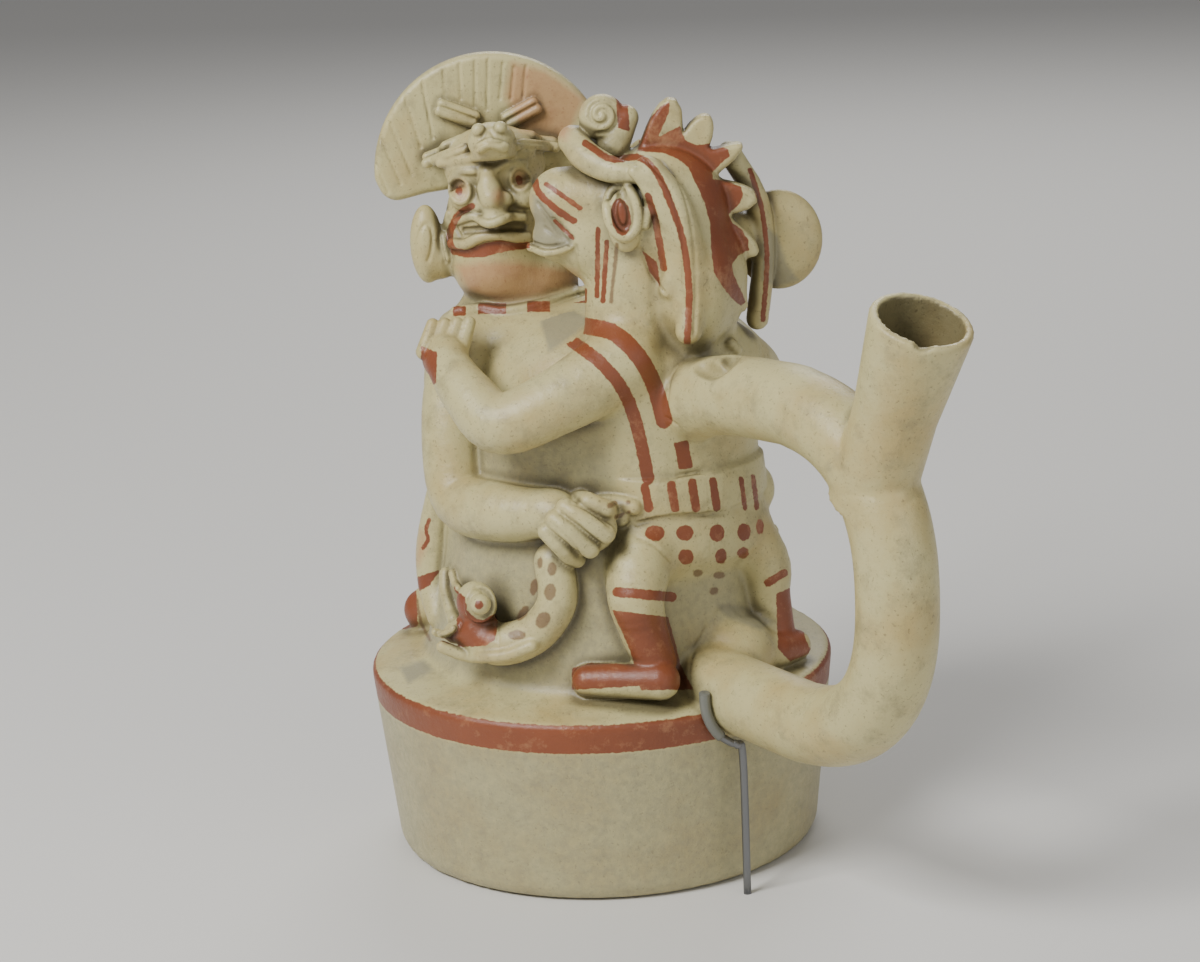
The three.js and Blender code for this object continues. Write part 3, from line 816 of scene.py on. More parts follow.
def ring(
    across: float, down: float, wide: float, tall: float, lean: float = 0.0, part: tuple = (0, 360)
) -> Points:
    """Spots round an ellipse of the picture, or along part of it.

    Args:
        across, down: its middle.
        wide, tall: its half axes.
        lean: how far it is turned, in degrees.
        part: the first and last degree of the arc.

    Returns:
        The spots in order.
    """
    c, s = turning(lean)
    turn = np.radians(np.linspace(*part, 15))
    u, v = wide * np.cos(turn), tall * np.sin(turn)
    return [(across + a * c - b * s, down + a * s + b * c) for a, b in zip(u, v)]


def spiral(across: float, down: float, inner: float, outer: float, start: float, sweep: float) -> Points:
    """Spots along a spiral whose radius grows evenly with its turn.

    Args:
        across, down: its middle.
        inner, outer: the radius at its first and last spot.
        start: the degree it starts at.
        sweep: how many degrees it goes round.

    Returns:
        The spots in order.
    """
    turn = np.radians(start + np.linspace(0, sweep, 22))
    reach = np.linspace(inner, outer, 22)
    return [(across + r * math.cos(t), down + r * math.sin(t)) for r, t in zip(reach, turn)]


def beside(a: tuple, b: tuple, off: float) -> Points:
    """A line moved sideways.

    Args:
        a, b: its ends.
        off: how far it moves.

    Returns:
        Its two ends.
    """
    d = np.array(b, float) - a
    n = np.array([-d[1], d[0]]) / np.hypot(*d) * off
    return [tuple(a + n), tuple(b + n)]


PAWS = (
    ((474, 119), (441, 107)), ((508, 120), (535, 105)), ((465, 146), (429, 160)), ((513, 141), (552, 145))
)
FAN_LINES = (
    ((376, 164), (388, 193)), ((381, 139), (401, 184)), ((390, 123), (412, 175)), ((405, 98), (421, 147)),
    ((422, 82), (433, 138)), ((443, 71), (446, 99)), ((459, 64), (461, 99)), ((475, 61), (475, 107)),
    ((488, 60), (487, 110)), ((503, 63), (500, 99)), ((514, 67), (511, 99)), ((526, 66), (523, 97)),
)


def drawn(cut: Cut, twin: Twin, *rows: tuple) -> list[Line]:
    """Lines that share a cut and a twin.

    Args:
        cut: whether they are raised or scored.
        twin: the unseen side they are copied to.
        rows: for each, its spots and width and, where they differ from a line's own, its lift and fillet.

    Returns:
        The lines in the same order.
    """
    return [Line(spots, width, cut, twin, *more) for spots, width, *more in rows]


@dataclass
class Drawing:
    """The raised and scored lines of both figures, the serpents and the joins."""

    def raised(self) -> list[Line]:
        """Returns what is laid on: lips, brows, eye rings, paws, ear loop, hair and jaw."""
        up = Cut.RAISED
        looking_out = drawn(
            up, Twin.NONE,
            (ring(460, 190, 9.5, 13, -8), 1.7),
            (ring(520, 179, 9.5, 12, -8), 1.7),
            ([(488, 172), (489, 186), (491, 196)], 4.8, 0.6, 2),
            ([(490, 190), (492, 199)], 7.0, 0.6, 2),
            ([(480, 205)], 5.0, 0.2, 1.5),
            ([(504, 200)], 5.0, 0.2, 1.5),
            ([(458, 221), (474, 216), (490, 223), (508, 217), (522, 217)], 3.0, 0.4),
            ([(454, 243), (467, 244), (481, 237), (499, 234), (515, 237), (526, 237)], 3.6, 0.5),
            ([(449, 214), (444, 236), (447, 258)], 2.6, 0.0, 1.2),
            ([(451, 180), (458, 172), (474, 171)], 2.2, 0.0, 1.2),
            ([(496, 169), (508, 162), (524, 163)], 2.2, 0.0, 1.2),
            ([(479, 131)], 4.4, 0.4),
            ([(500, 129)], 4.4, 0.4),
            ([(480, 148), (491, 143), (504, 147)], 3.4, 0.4),
            ([(440, 163), (470, 158), (500, 154), (530, 152)], 3.0, 0.0, 1.5),
            ([(455, 311), (480, 308), (505, 311), (535, 306), (562, 298), (584, 290)], 3.0, 0.0, 1.5),
        )
        turned_head = drawn(
            up, Twin.HEAD,
            ([(532, 246), (546, 252), (561, 250), (570, 246)], 2.6, 0.4),
            (ring(623, 212, 14, 25, -8), 3.2, 0.5),
            ([(634, 172), (646, 184), (650, 202), (645, 224)], 3.4, 0.4),
            ([(646, 178), (661, 205), (670, 240), (674, 272), (668, 289)], 6.0, -1.0, 2.0),
            ([(655, 168), (676, 198), (686, 240), (690, 290), (688, 335)], 8.0, -2.2, 2.5),
        )
        hand_and_neck = drawn(
            up, Twin.NONE,
            ([(580, 500), (621, 517)], 6.0, 0.6, 0.8),
            ([(566, 509), (605, 533)], 6.0, 0.8, 0.8),
            ([(556, 520), (590, 547)], 6.0, 0.8, 0.8),
            ([(548, 531), (575, 559)], 5.6, 0.6, 0.8),
            ([(600, 503), (618, 503), (634, 507)], 5.0, 0.4, 1.0),
            ([(729, 343), (736, 349)], 3.6, 0.4),
        )
        serpent = drawn(
            up, Twin.BODY,
            (ring(480, 604, 13, 16), 1.8, 0.2),
            ([(480, 604)], 6.4, 0.6),
            ([(449, 574), (449, 590), (453, 607), (458, 624)], 4.4, 1.0, 1.0),
            ([(455, 573), (459, 586), (467, 596)], 2.6, 1.0, 0.8),
            ([(437, 632), (446, 634), (456, 629)], 2.6, 0.8, 0.8),
            ([(443, 646), (470, 655), (505, 655), (532, 645)], 4.0, 0.4, 1.0),
        )
        paws = [(beside(a, b, off), 3.4, 1.2, 0.3) for a, b in PAWS for off in (-3.8, 3.8)]
        return looking_out + turned_head + hand_and_neck + serpent + drawn(up, Twin.NONE, *paws)

    def scored(self) -> list[Line]:
        """Returns what is pressed in: fan lines, mouths, fingers, hems, the scroll, cracks and joins."""
        cut = Cut.SCORED
        fan = [(list(ends), 1.0, 0.0, 0.3) for ends in FAN_LINES]
        paws = [([a, b], 1.0) for a, b in PAWS]
        looking_out = drawn(
            cut, Twin.NONE, *fan, *paws,
            ([(464, 231), (490, 229), (512, 227), (524, 227)], 2.4),
            ([(456, 229), (460, 236)], 1.6),
            ([(441, 216), (440, 240), (445, 262)], 1.0),
            ([(474, 149), (483, 143), (496, 144), (503, 143)], 1.0),
            ([(482, 138), (488, 130), (495, 138)], 0.9),
            (ring(424, 246, 8, 22, 8, (150, 400)), 1.0),
        )
        turned_head = drawn(
            cut, Twin.HEAD,
            (spiral(601, 115, 3, 19, 200, 620), 1.5),
            (ring(622, 213, 7, 15, -8), 1.6),
            ([(621, 192), (621, 196)], 3.0),
            ([(537, 203), (552, 223), (570, 245)], 1.5),
            ([(545, 228), (561, 240)], 1.0),
            ([(554, 219), (573, 238)], 1.2),
            ([(533, 243), (547, 247), (562, 245), (570, 240)], 1.3),
            ([(576, 246), (580, 268), (590, 282)], 0.9),
            ([(645, 158), (668, 186), (680, 225), (684, 275), (682, 320)], 1.0),
            ([(660, 160), (682, 190), (693, 235), (696, 290), (694, 335)], 1.0),
            ([(641, 250), (652, 275), (664, 292)], 1.2),
        )
        hems_and_fingers = drawn(
            cut, Twin.NONE,
            ([(651, 484), (688, 474), (728, 471), (757, 472)], 1.2),
            ([(637, 524), (667, 517), (713, 514), (762, 512)], 1.4),
            ([(637, 537), (654, 545), (670, 560)], 1.0),
            ([(765, 537), (754, 552)], 0.9),
            ([(570, 502), (590, 512), (610, 527)], 1.0, 0.0, 0.4),
            ([(561, 514), (577, 525), (597, 541)], 1.0, 0.0, 0.4),
            ([(551, 524), (564, 535), (581, 554)], 1.0, 0.0, 0.4),
        )
        serpent = drawn(
            cut, Twin.BODY,
            ([(441, 640), (455, 634), (462, 622)], 1.3),
            ([(497, 621), (498, 640)], 1.0),
        )
        cracks_and_joins = drawn(
            cut, Twin.NONE,
            ([(690, 357), (678, 365), (671, 377), (668, 397), (667, 412)], 0.8),
            ([(667, 418), (680, 428), (687, 443)], 1.0),
            ([(706, 628), (697, 645), (691, 660), (689, 682), (693, 698)], 0.8),
            ([(832, 497), (865, 495), (900, 507), (925, 487)], 0.7),
            ([(716, 612), (731, 606), (744, 617), (760, 611), (775, 622)], 1.0),
            ([(700, 364), (712, 371), (726, 366), (732, 356)], 5.0, 0.0, 2),
        )
        return looking_out + turned_head + hems_and_fingers + serpent + cracks_and_joins


class Coat(Enum):
    """A slip or stain that is laid on in strokes; one grey patch is painted shadow."""

    RED = "red"
    BROWN = "brown"
    GREY = "grey"
    BLUSH = "blush"


@dataclass
class Stroke:
    """One stroke or filled patch of slip, named by where it shows.

    A stroke is every point nearer its line than half its width; a patch is the inside of its corners.
    """

    spots: Points
    width: float
    coat: Coat
    twin: Twin
    wraps: bool = False
    reach: float = 14.0

    def gap(self, across: np.ndarray, down: np.ndarray) -> np.ndarray:
        """The distance to the stroke as it shows.

        Args:
            across, down: where each point shows.

        Returns:
            Signed distances in picture units, slip negative.
        """
        if not self.width:
            return polygon_distance(across, down, [tuple(p) for p in self.spots])
        least = np.full(len(across), 1e9)
        line = np.array(self.spots, float)
        if len(line) > 2:
            line = flowing(line, 3 * len(line))
        if len(line) == 1:
            line = np.vstack([line, line + 0.01])
        for a, b in zip(line[:-1], line[1:]):
            d = b - a
            t = np.clip(((across - a[0]) * d[0] + (down - a[1]) * d[1]) / max(d @ d, 1e-9), 0, 1)
            least = np.minimum(least, np.hypot(across - a[0] - t * d[0], down - a[1] - t * d[1]))
        return least - self.width / 2


def oval(across: float, down: float, wide: float, tall: float, lean: float = 0.0) -> Points:
    """The corners of a filled ellipse."""
    return ring(across, down, wide, tall, lean)[:-1]


def coated(coat: Coat, twin: Twin, *rows: tuple, **more) -> list[Stroke]:
    """Strokes that share a coat and a twin.

    Args:
        coat: what they are laid on with.
        twin: the unseen side they are copied to.
        rows: for each, its width, 0 for a filled patch, and its spots.
        more: the other settings that they share.

    Returns:
        The strokes in the same order.
    """
    return [Stroke(spots, width, coat, twin, **more) for width, spots in rows]


@dataclass
class Painting:
    """Every stroke of red and brown slip, grey stain, blush, and one grey patch of painted shadow on the
    flap.
    """

    per_mm: float = 3.144
    clear: float = 5.0
    margin: float = 20.0
    edge_on: float = -0.1
    unseen: float = 0.05

    def front_head(self) -> list[Stroke]:
        """Returns the strokes on the turned head and its crest."""
        head = Twin.HEAD
        crest = [
            (637, 151), (642, 135), (650, 118), (661, 106), (670, 101), (669, 113), (663, 126),
            (658, 137), (680, 126), (685, 140), (697, 145), (713, 143), (728, 149), (730, 156),
            (719, 165), (712, 173), (713, 179), (728, 181), (741, 187), (744, 195), (738, 206),
            (728, 214), (733, 223), (741, 229), (748, 239), (749, 250), (738, 256), (732, 264),
            (733, 273), (739, 286), (746, 302), (741, 306), (733, 300), (722, 286), (714, 273),
            (711, 248), (710, 223), (705, 204), (697, 186), (688, 167), (678, 159), (663, 153),
        ]
        made = coated(
            Coat.RED, head,
            (0, crest),
            (0, oval(621, 217, 10, 19, -8)),
            (0, [(642, 250), (657, 262), (661, 288), (650, 272)]),
            (0, [(616, 97), (628, 104), (630, 132), (618, 128)]),
            (5, [(546, 184), (563, 196), (580, 208)]),
            (7, [(535, 181), (539, 193), (557, 210), (574, 221)]),
            (4, [(555, 221), (573, 238)]),
            (5, [(598, 229), (597, 296)]),
            (5, [(607, 242), (603, 301)]),
            (7, [(585, 143), (611, 159), (637, 157), (654, 169), (668, 195)]),
            (7, [(664, 187), (682, 236), (689, 290), (687, 345)]),
            (7, [(648, 196), (654, 215), (659, 240), (664, 268)]),
            (2, [(640, 141), (640, 147)]),
        )
        made += coated(Coat.RED, head, (5, [(750, 170), (762, 210), (767, 260), (763, 320)]), wraps=True)
        made += coated(Coat.BROWN, head, (4, [(617, 245), (611, 302)]))
        made += coated(
            Coat.GREY, head,
            (0, [(533, 195), (543, 200), (574, 238), (571, 246), (561, 249), (533, 245)]),
            # Painted shadow: this grey patch on the left of the flap beside the crest is shade painted in
            # grey.
            (0, [(762, 222), (778, 236), (786, 262), (798, 280), (776, 288), (762, 280)]),
        )
        return made

    def rear_head(self) -> list[Stroke]:
        """Returns the strokes on the face that looks out, its collar and the fan."""
        collar = (
            ((453, 306), (466, 316)), ((478, 303), (506, 314)),
            ((527, 301), (550, 312)), ((562, 288), (587, 303)),
        )
        squares = [(0, [(a[0], a[1]), (b[0], a[1]), (b[0], b[1]), (a[0], b[1])]) for a, b in collar]
        lip = [
            (452, 247), (467, 250), (482, 244), (500, 240), (515, 243), (530, 242),
            (530, 248), (503, 252), (485, 257), (466, 258), (453, 254),
        ]
        chin = [
            (456, 266), (480, 262), (520, 262), (575, 270), (582, 283), (540, 296), (500, 304), (466, 292),
        ]
        made = coated(
            Coat.BLUSH, Twin.NONE,
            (0, oval(460, 190, 6.5, 9.5, -8)),
            (0, oval(520, 179, 6, 8.5, -8)),
            (0, oval(499, 196, 5.5, 7.5, 20)),
            (0, chin),
            (0, [(512, 62), (545, 70), (585, 98), (566, 140), (520, 130), (505, 95)]),
        )
        made += coated(
            Coat.RED, Twin.NONE,
            (0, oval(459, 191, 3.5, 5, -8)),
            (0, oval(519, 180, 3.5, 5, -8)),
            (7, [(472, 206), (458, 215), (451, 230), (450, 243), (455, 252)]),
            (0, lip),
            *squares,
        )
        return made

    def bodies(self) -> list[Stroke]:
        """Returns the strokes on the trunks, belt, skirt, legs and serpents."""
        belt = [
            (width, [(x, 488 - (x - 640) * 0.1), (x + 4, 508)])
            for x, width in ((645, 9), (671, 9), (692, 9), (713, 8), (741, 5), (753, 5))
        ]
        skirt_dots = (
            (655, 533, 10, 8), (685, 533, 9, 8), (717, 533, 8, 9), (744, 532, 7, 9), (760, 527, 4, 8),
            (686, 557, 8, 8), (721, 556, 6, 8), (743, 553, 6, 6),
        )
        brown_dots = (
            (698, 573, 5, 4), (719, 575, 6, 4), (714, 591, 5, 4),
            (552, 569, 5, 7, 10), (550, 592, 6, 9, 10), (543, 620, 7, 9, 30), (517, 635, 9, 5, 0),
            (540, 563, 3, 6, 10), (534, 587, 4, 9, 10), (523, 613, 4, 9, 35),
        )
        serpent_jaws = [
            (447, 576), (453, 576), (456, 590), (465, 597), (467, 610), (475, 618), (483, 620),
            (496, 613), (498, 623), (495, 640), (485, 646), (460, 647), (443, 642), (437, 638),
            (450, 637), (457, 631), (457, 623), (454, 606), (447, 590),
        ]
        made = coated(
            Coat.RED, Twin.BODY,
            (17, [(586, 326), (614, 333), (639, 357), (655, 387), (664, 420)]),
            (13, [(573, 342), (601, 363), (624, 392), (638, 430), (648, 478)]),
            (0, [(674, 443), (688, 440), (693, 468), (679, 470)]),
            (0, serpent_jaws),
            (9, [(479, 605)]),
            *belt,
            *((0, oval(*dot)) for dot in skirt_dots),
        )
        made += coated(
            Coat.BROWN, Twin.BODY,
            (5, [(609, 506), (615, 503)]),
            (5, [(628, 502)]),
            (4, [(616, 517), (624, 514)]),
            (4, [(629, 512)]),
            *((0, oval(*dot)) for dot in brown_dots),
        )
        made += coated(
            Coat.GREY, Twin.NONE,
            (0, [(540, 321), (568, 307), (591, 321), (571, 337), (549, 352)]),
            (0, [(715, 603), (745, 606), (776, 622), (760, 630), (728, 618)]),
            (0, [(400, 668), (424, 660), (433, 670), (408, 684)]),
        )
        made += coated(
            Coat.RED, Twin.NONE,
            (10, [(617, 592), (672, 597)]),
            (0, [(612, 610), (668, 617), (676, 645), (686, 690), (640, 690), (630, 650)]),
            (8, [(768, 583), (784, 573)]),
            (0, [(776, 594), (794, 586), (806, 640), (812, 652), (790, 662), (778, 648)]),
            (0, [(441, 569), (417, 577), (418, 592), (430, 585)]),
            (0, [(404, 595), (416, 590), (418, 626), (402, 630)]),
            wraps=True,
        )
        feet = [(572, 668), (590, 663), (640, 664), (680, 664), (694, 690), (640, 686), (572, 690)]
        made += coated(Coat.RED, Twin.NONE, (0, feet), wraps=True, reach=7.0)
        back = [(421, 346), (437, 352), (436, 384), (420, 388)]
        made += coated(Coat.RED, Twin.BODY, (0, back), wraps=True)
        made += coated(Coat.RED, Twin.NONE, (4, [(429, 520), (426, 530), (428, 540), (423, 548)]))
        wear = [(420, 530), (416, 560), (418, 566), (424, 552), (427, 534)]
        made += coated(Coat.BLUSH, Twin.NONE, (0, wear), wraps=True)
        made += coated(Coat.BROWN, Twin.NONE, (3, [(417, 600), (421, 622), (430, 640)]), wraps=True)
        return made

    def lay(self, points: np.ndarray, normals: np.ndarray, clay: Clay) -> dict[Coat, np.ndarray]:
        """The signed distance in mm to each coat.

        Args:
            points: where to work it out.
            normals: the outward directions there.
            clay: the field, for the depth each stroke lies at.

        Returns:
            One array for each coat, slip negative.
        """
        layers = {coat: np.full(len(points), self.clear) for coat in Coat}
        views = {}
        for twin in Twin:
            p, n = points, normals
            if twin is not Twin.NONE:
                p = unmirrored(points, twin)
                n = unmirrored(points + normals, twin) - p
                n /= np.linalg.norm(n, axis=1, keepdims=True)
            towards = LENS.place - p
            towards /= np.linalg.norm(towards, axis=1, keepdims=True)
            views[twin] = (*LENS.spot(p), (n * towards).sum(1))
        for stroke in self.front_head() + self.rear_head() + self.bodies():
            line = np.array(stroke.spots, float)
            depth = (LENS.touch(clay, line) - LENS.place) @ LENS.ahead
            grow = self.margin + stroke.width
            low, high = line.min(0) - grow, line.max(0) + grow
            for twin in {Twin.NONE, stroke.twin}:
                across, down, deep, face = views[twin]
                near = (across > low[0]) & (across < high[0]) & (down > low[1]) & (down < high[1])
                near &= (deep > depth.min() - stroke.reach) & (deep < np.median(depth) + stroke.reach)
                if not stroke.wraps:
                    near &= face > self.edge_on
                if twin is not Twin.NONE:
                    near &= views[Twin.NONE][3] < self.unseen
                pick = np.flatnonzero(near)
                gap = stroke.gap(across[pick], down[pick]) / self.per_mm
                layers[stroke.coat][pick] = np.minimum(layers[stroke.coat][pick], gap)
        return layers


@dataclass
class Region:
    """One block of the clay that is meshed as a piece, at its own grid step."""

    name: str
    low: tuple
    high: tuple
    step: float


LAP = 0.8  # mm that neighbouring regions share
REGIONS = [
    Region("rear_head_and_fan", (-90, -70, 174), (4, 60, 260), 0.55),
    Region("front_head_and_crest", (4, -70, 174), (75, 70, 260), 0.55),
    Region("trunks_near_side", (-80, -80, 118), (75, 0, 174), 0.75),
    Region("legs_and_serpents_near_side", (-80, -80, 62), (75, 0, 118), 0.75),
    Region("figures_far_side", (-80, 0, 62), (75, 80, 174), 1.15),
    Region("drum", (-80, -80, -5), (80, 80, 62), 1.4),
    Region("stirrup_and_spout", (75, -30, 40), (180, 30, 220), 0.95),
]


def linear(hexa: str) -> tuple[float, float, float, float]:
    """Returns an sRGB hex colour as linear RGBA."""
    rgb = [int(hexa[i : i + 2], 16) / 255 for i in (1, 3, 5)]
    return tuple(c / 12.92 if c <= 0.04045 else ((c + 0.055) / 1.055) ** 2.4 for c in rgb) + (1.0,)


@dataclass
class Graph:
    """A material's nodes, added one at a time."""

    name: str

    def __post_init__(self) -> None:
        """Makes the empty material."""
        self.material = bpy.data.materials.new(self.name)
        self.material.use_nodes = True
        self.nodes, self.links = self.material.node_tree.nodes, self.material.node_tree.links
        self.nodes.clear()

    def add(self, kind: str, inputs: dict | None = None, **settings) -> bpy.types.Node:
        """Adds a node.

        Args:
            kind: the node's type after ShaderNode.
            inputs: input name or index to a value, or to the output socket that feeds it.
            settings: properties of the node.

        Returns:
            The node.
        """
        node = self.nodes.new("ShaderNode" + kind)
        for key, value in settings.items():
            setattr(node, key, value)
        for key, value in (inputs or {}).items():
            if isinstance(value, bpy.types.NodeSocket):
                self.links.new(value, node.inputs[key])
            else:
                node.inputs[key].default_value = value
        return node

    def mix(self, share: bpy.types.NodeSocket, under: object, over: object) -> bpy.types.NodeSocket:
        """Returns the colour that goes from under to over with the share."""
        return self.add("Mix", {0: share, 6: under, 7: over}, data_type="RGBA").outputs[2]

    def ramp(
        self, value: bpy.types.NodeSocket, low: float, high: float, top: float = 1.0
    ) -> bpy.types.NodeSocket:
        """Returns a value's climb from 0 at low to top at high."""
        return self.add("MapRange", {"Value": value, 1: low, 2: high, 3: 0.0, 4: top}).outputs[0]

    def noise(self, scale: float, detail: float, roughness: float = 0.5) -> bpy.types.NodeSocket:
        """Returns a noise fixed to the object, whose grain is about 1 / scale metres."""
        place = self.add("TexCoord").outputs["Object"]
        inputs = {"Vector": place, "Scale": scale, "Detail": detail, "Roughness": roughness}
        return self.add("TexNoise", inputs).outputs[0]

    def share(self, name: str) -> bpy.types.NodeSocket:
        """Returns a mesh attribute by its name."""
        return self.add("Attribute", attribute_name=name, attribute_type="GEOMETRY").outputs["Fac"]

    def finish(self, **inputs) -> bpy.types.Material:
        """Returns the material, closed with one principled surface that has these inputs."""
        named = {key.replace("_", " "): value for key, value in inputs.items()}
        self.add("OutputMaterial", {"Surface": self.add("BsdfPrincipled", named).outputs[0]})
        return self.material


@dataclass(frozen=True)
class SlippedClay:
    """Fired clay under burnished cream and red slips: satin, a little uneven, with painted shade darkening
    the creases.
    """

    cream: str = "#C4BA86"
    cream_warm: str = "#B8A46C"
    grey: str = "#8F8A70"
    red: str = "#94502E"
    red_dark: str = "#683722"
    rubbed: str = "#BC8B62"
    # Colour of the painted shade in creases and recesses.
    painted_crease_shade: str = "#3D3426"
    brown: str = "#5E331F"
    blush: str = "#B4724E"
    stain: str = "#857B5A"
    speck: str = "#5C4F36"
    roughness: float = 0.36
    waver: float = 0.9

    def build(self) -> bpy.types.Material:
        """Returns the material."""
        # Burnished slip over fired clay: a soft low sheen, with cream that drifts warm and dirty.
        g = Graph("burnished_cream_and_red_slip")
        cloud, fine = g.noise(35.0, 6.0, 0.6), g.noise(420.0, 4.0, 0.7)
        edge, patch, grain = g.noise(700.0, 3.0), g.noise(110.0, 7.0, 0.75), g.noise(1100.0, 2.0)
        base = g.mix(g.ramp(cloud, 0.45, 0.7), linear(self.cream), linear(self.cream_warm))
        base = g.mix(g.ramp(patch, 0.5, 0.72, 0.6), base, linear(self.stain))
        base = g.mix(g.ramp(grain, 0.62, 0.72, 0.45), base, linear(self.speck))
        mottled = g.add("Math", {0: g.share("bare"), 1: fine}, operation="MULTIPLY").outputs[0]
        mottled = g.add("Math", {0: mottled, 1: 1.5}, operation="MULTIPLY", use_clamp=True).outputs[0]
        base = g.mix(mottled, base, linear(self.grey))
        tone = g.mix(cloud, linear(self.red_dark), linear(self.red))
        tone = g.mix(g.ramp(patch, 0.54, 0.72, 0.6), tone, linear(self.rubbed))
        # Each coat's colour, the softness of its edge in mm and its strength, the lowest first.
        coats = (
            (Coat.BLUSH, linear(self.blush), 3.0, 0.55), (Coat.GREY, linear(self.grey), 1.5, 0.8),
            (Coat.BROWN, linear(self.brown), 0.5, 0.7), (Coat.RED, tone, 0.25, 1.0),
        )
        for coat, colour, soft, strength in coats:
            inputs = {0: edge, 1: self.waver, 2: g.share(coat.value)}
            wobble = g.add("Math", inputs, operation="MULTIPLY_ADD").outputs[0]
            inside, outside = self.waver / 2 - soft / 2, self.waver / 2 + soft / 2
            base = g.mix(g.ramp(wobble, outside, inside, strength), base, colour)
        # Painted shade: the colour is darkened towards the crease colour where clay closes round the surface.
        base = g.mix(g.share("painted_crease_shade"), base, linear(self.painted_crease_shade))
        low, high = self.roughness - 0.1, self.roughness + 0.15
        rough = g.add("MapRange", {"Value": fine, 3: low, 4: high}).outputs[0]
        uneven = g.add("Bump", {"Strength": 0.35, "Distance": 0.0012, "Height": patch}).outputs[0]
        inputs = {"Strength": 0.3, "Distance": 0.0004, "Height": fine, "Normal": uneven}
        bump = g.add("Bump", inputs).outputs[0]
        return g.finish(Base_Color=base, Roughness=rough, Normal=bump)


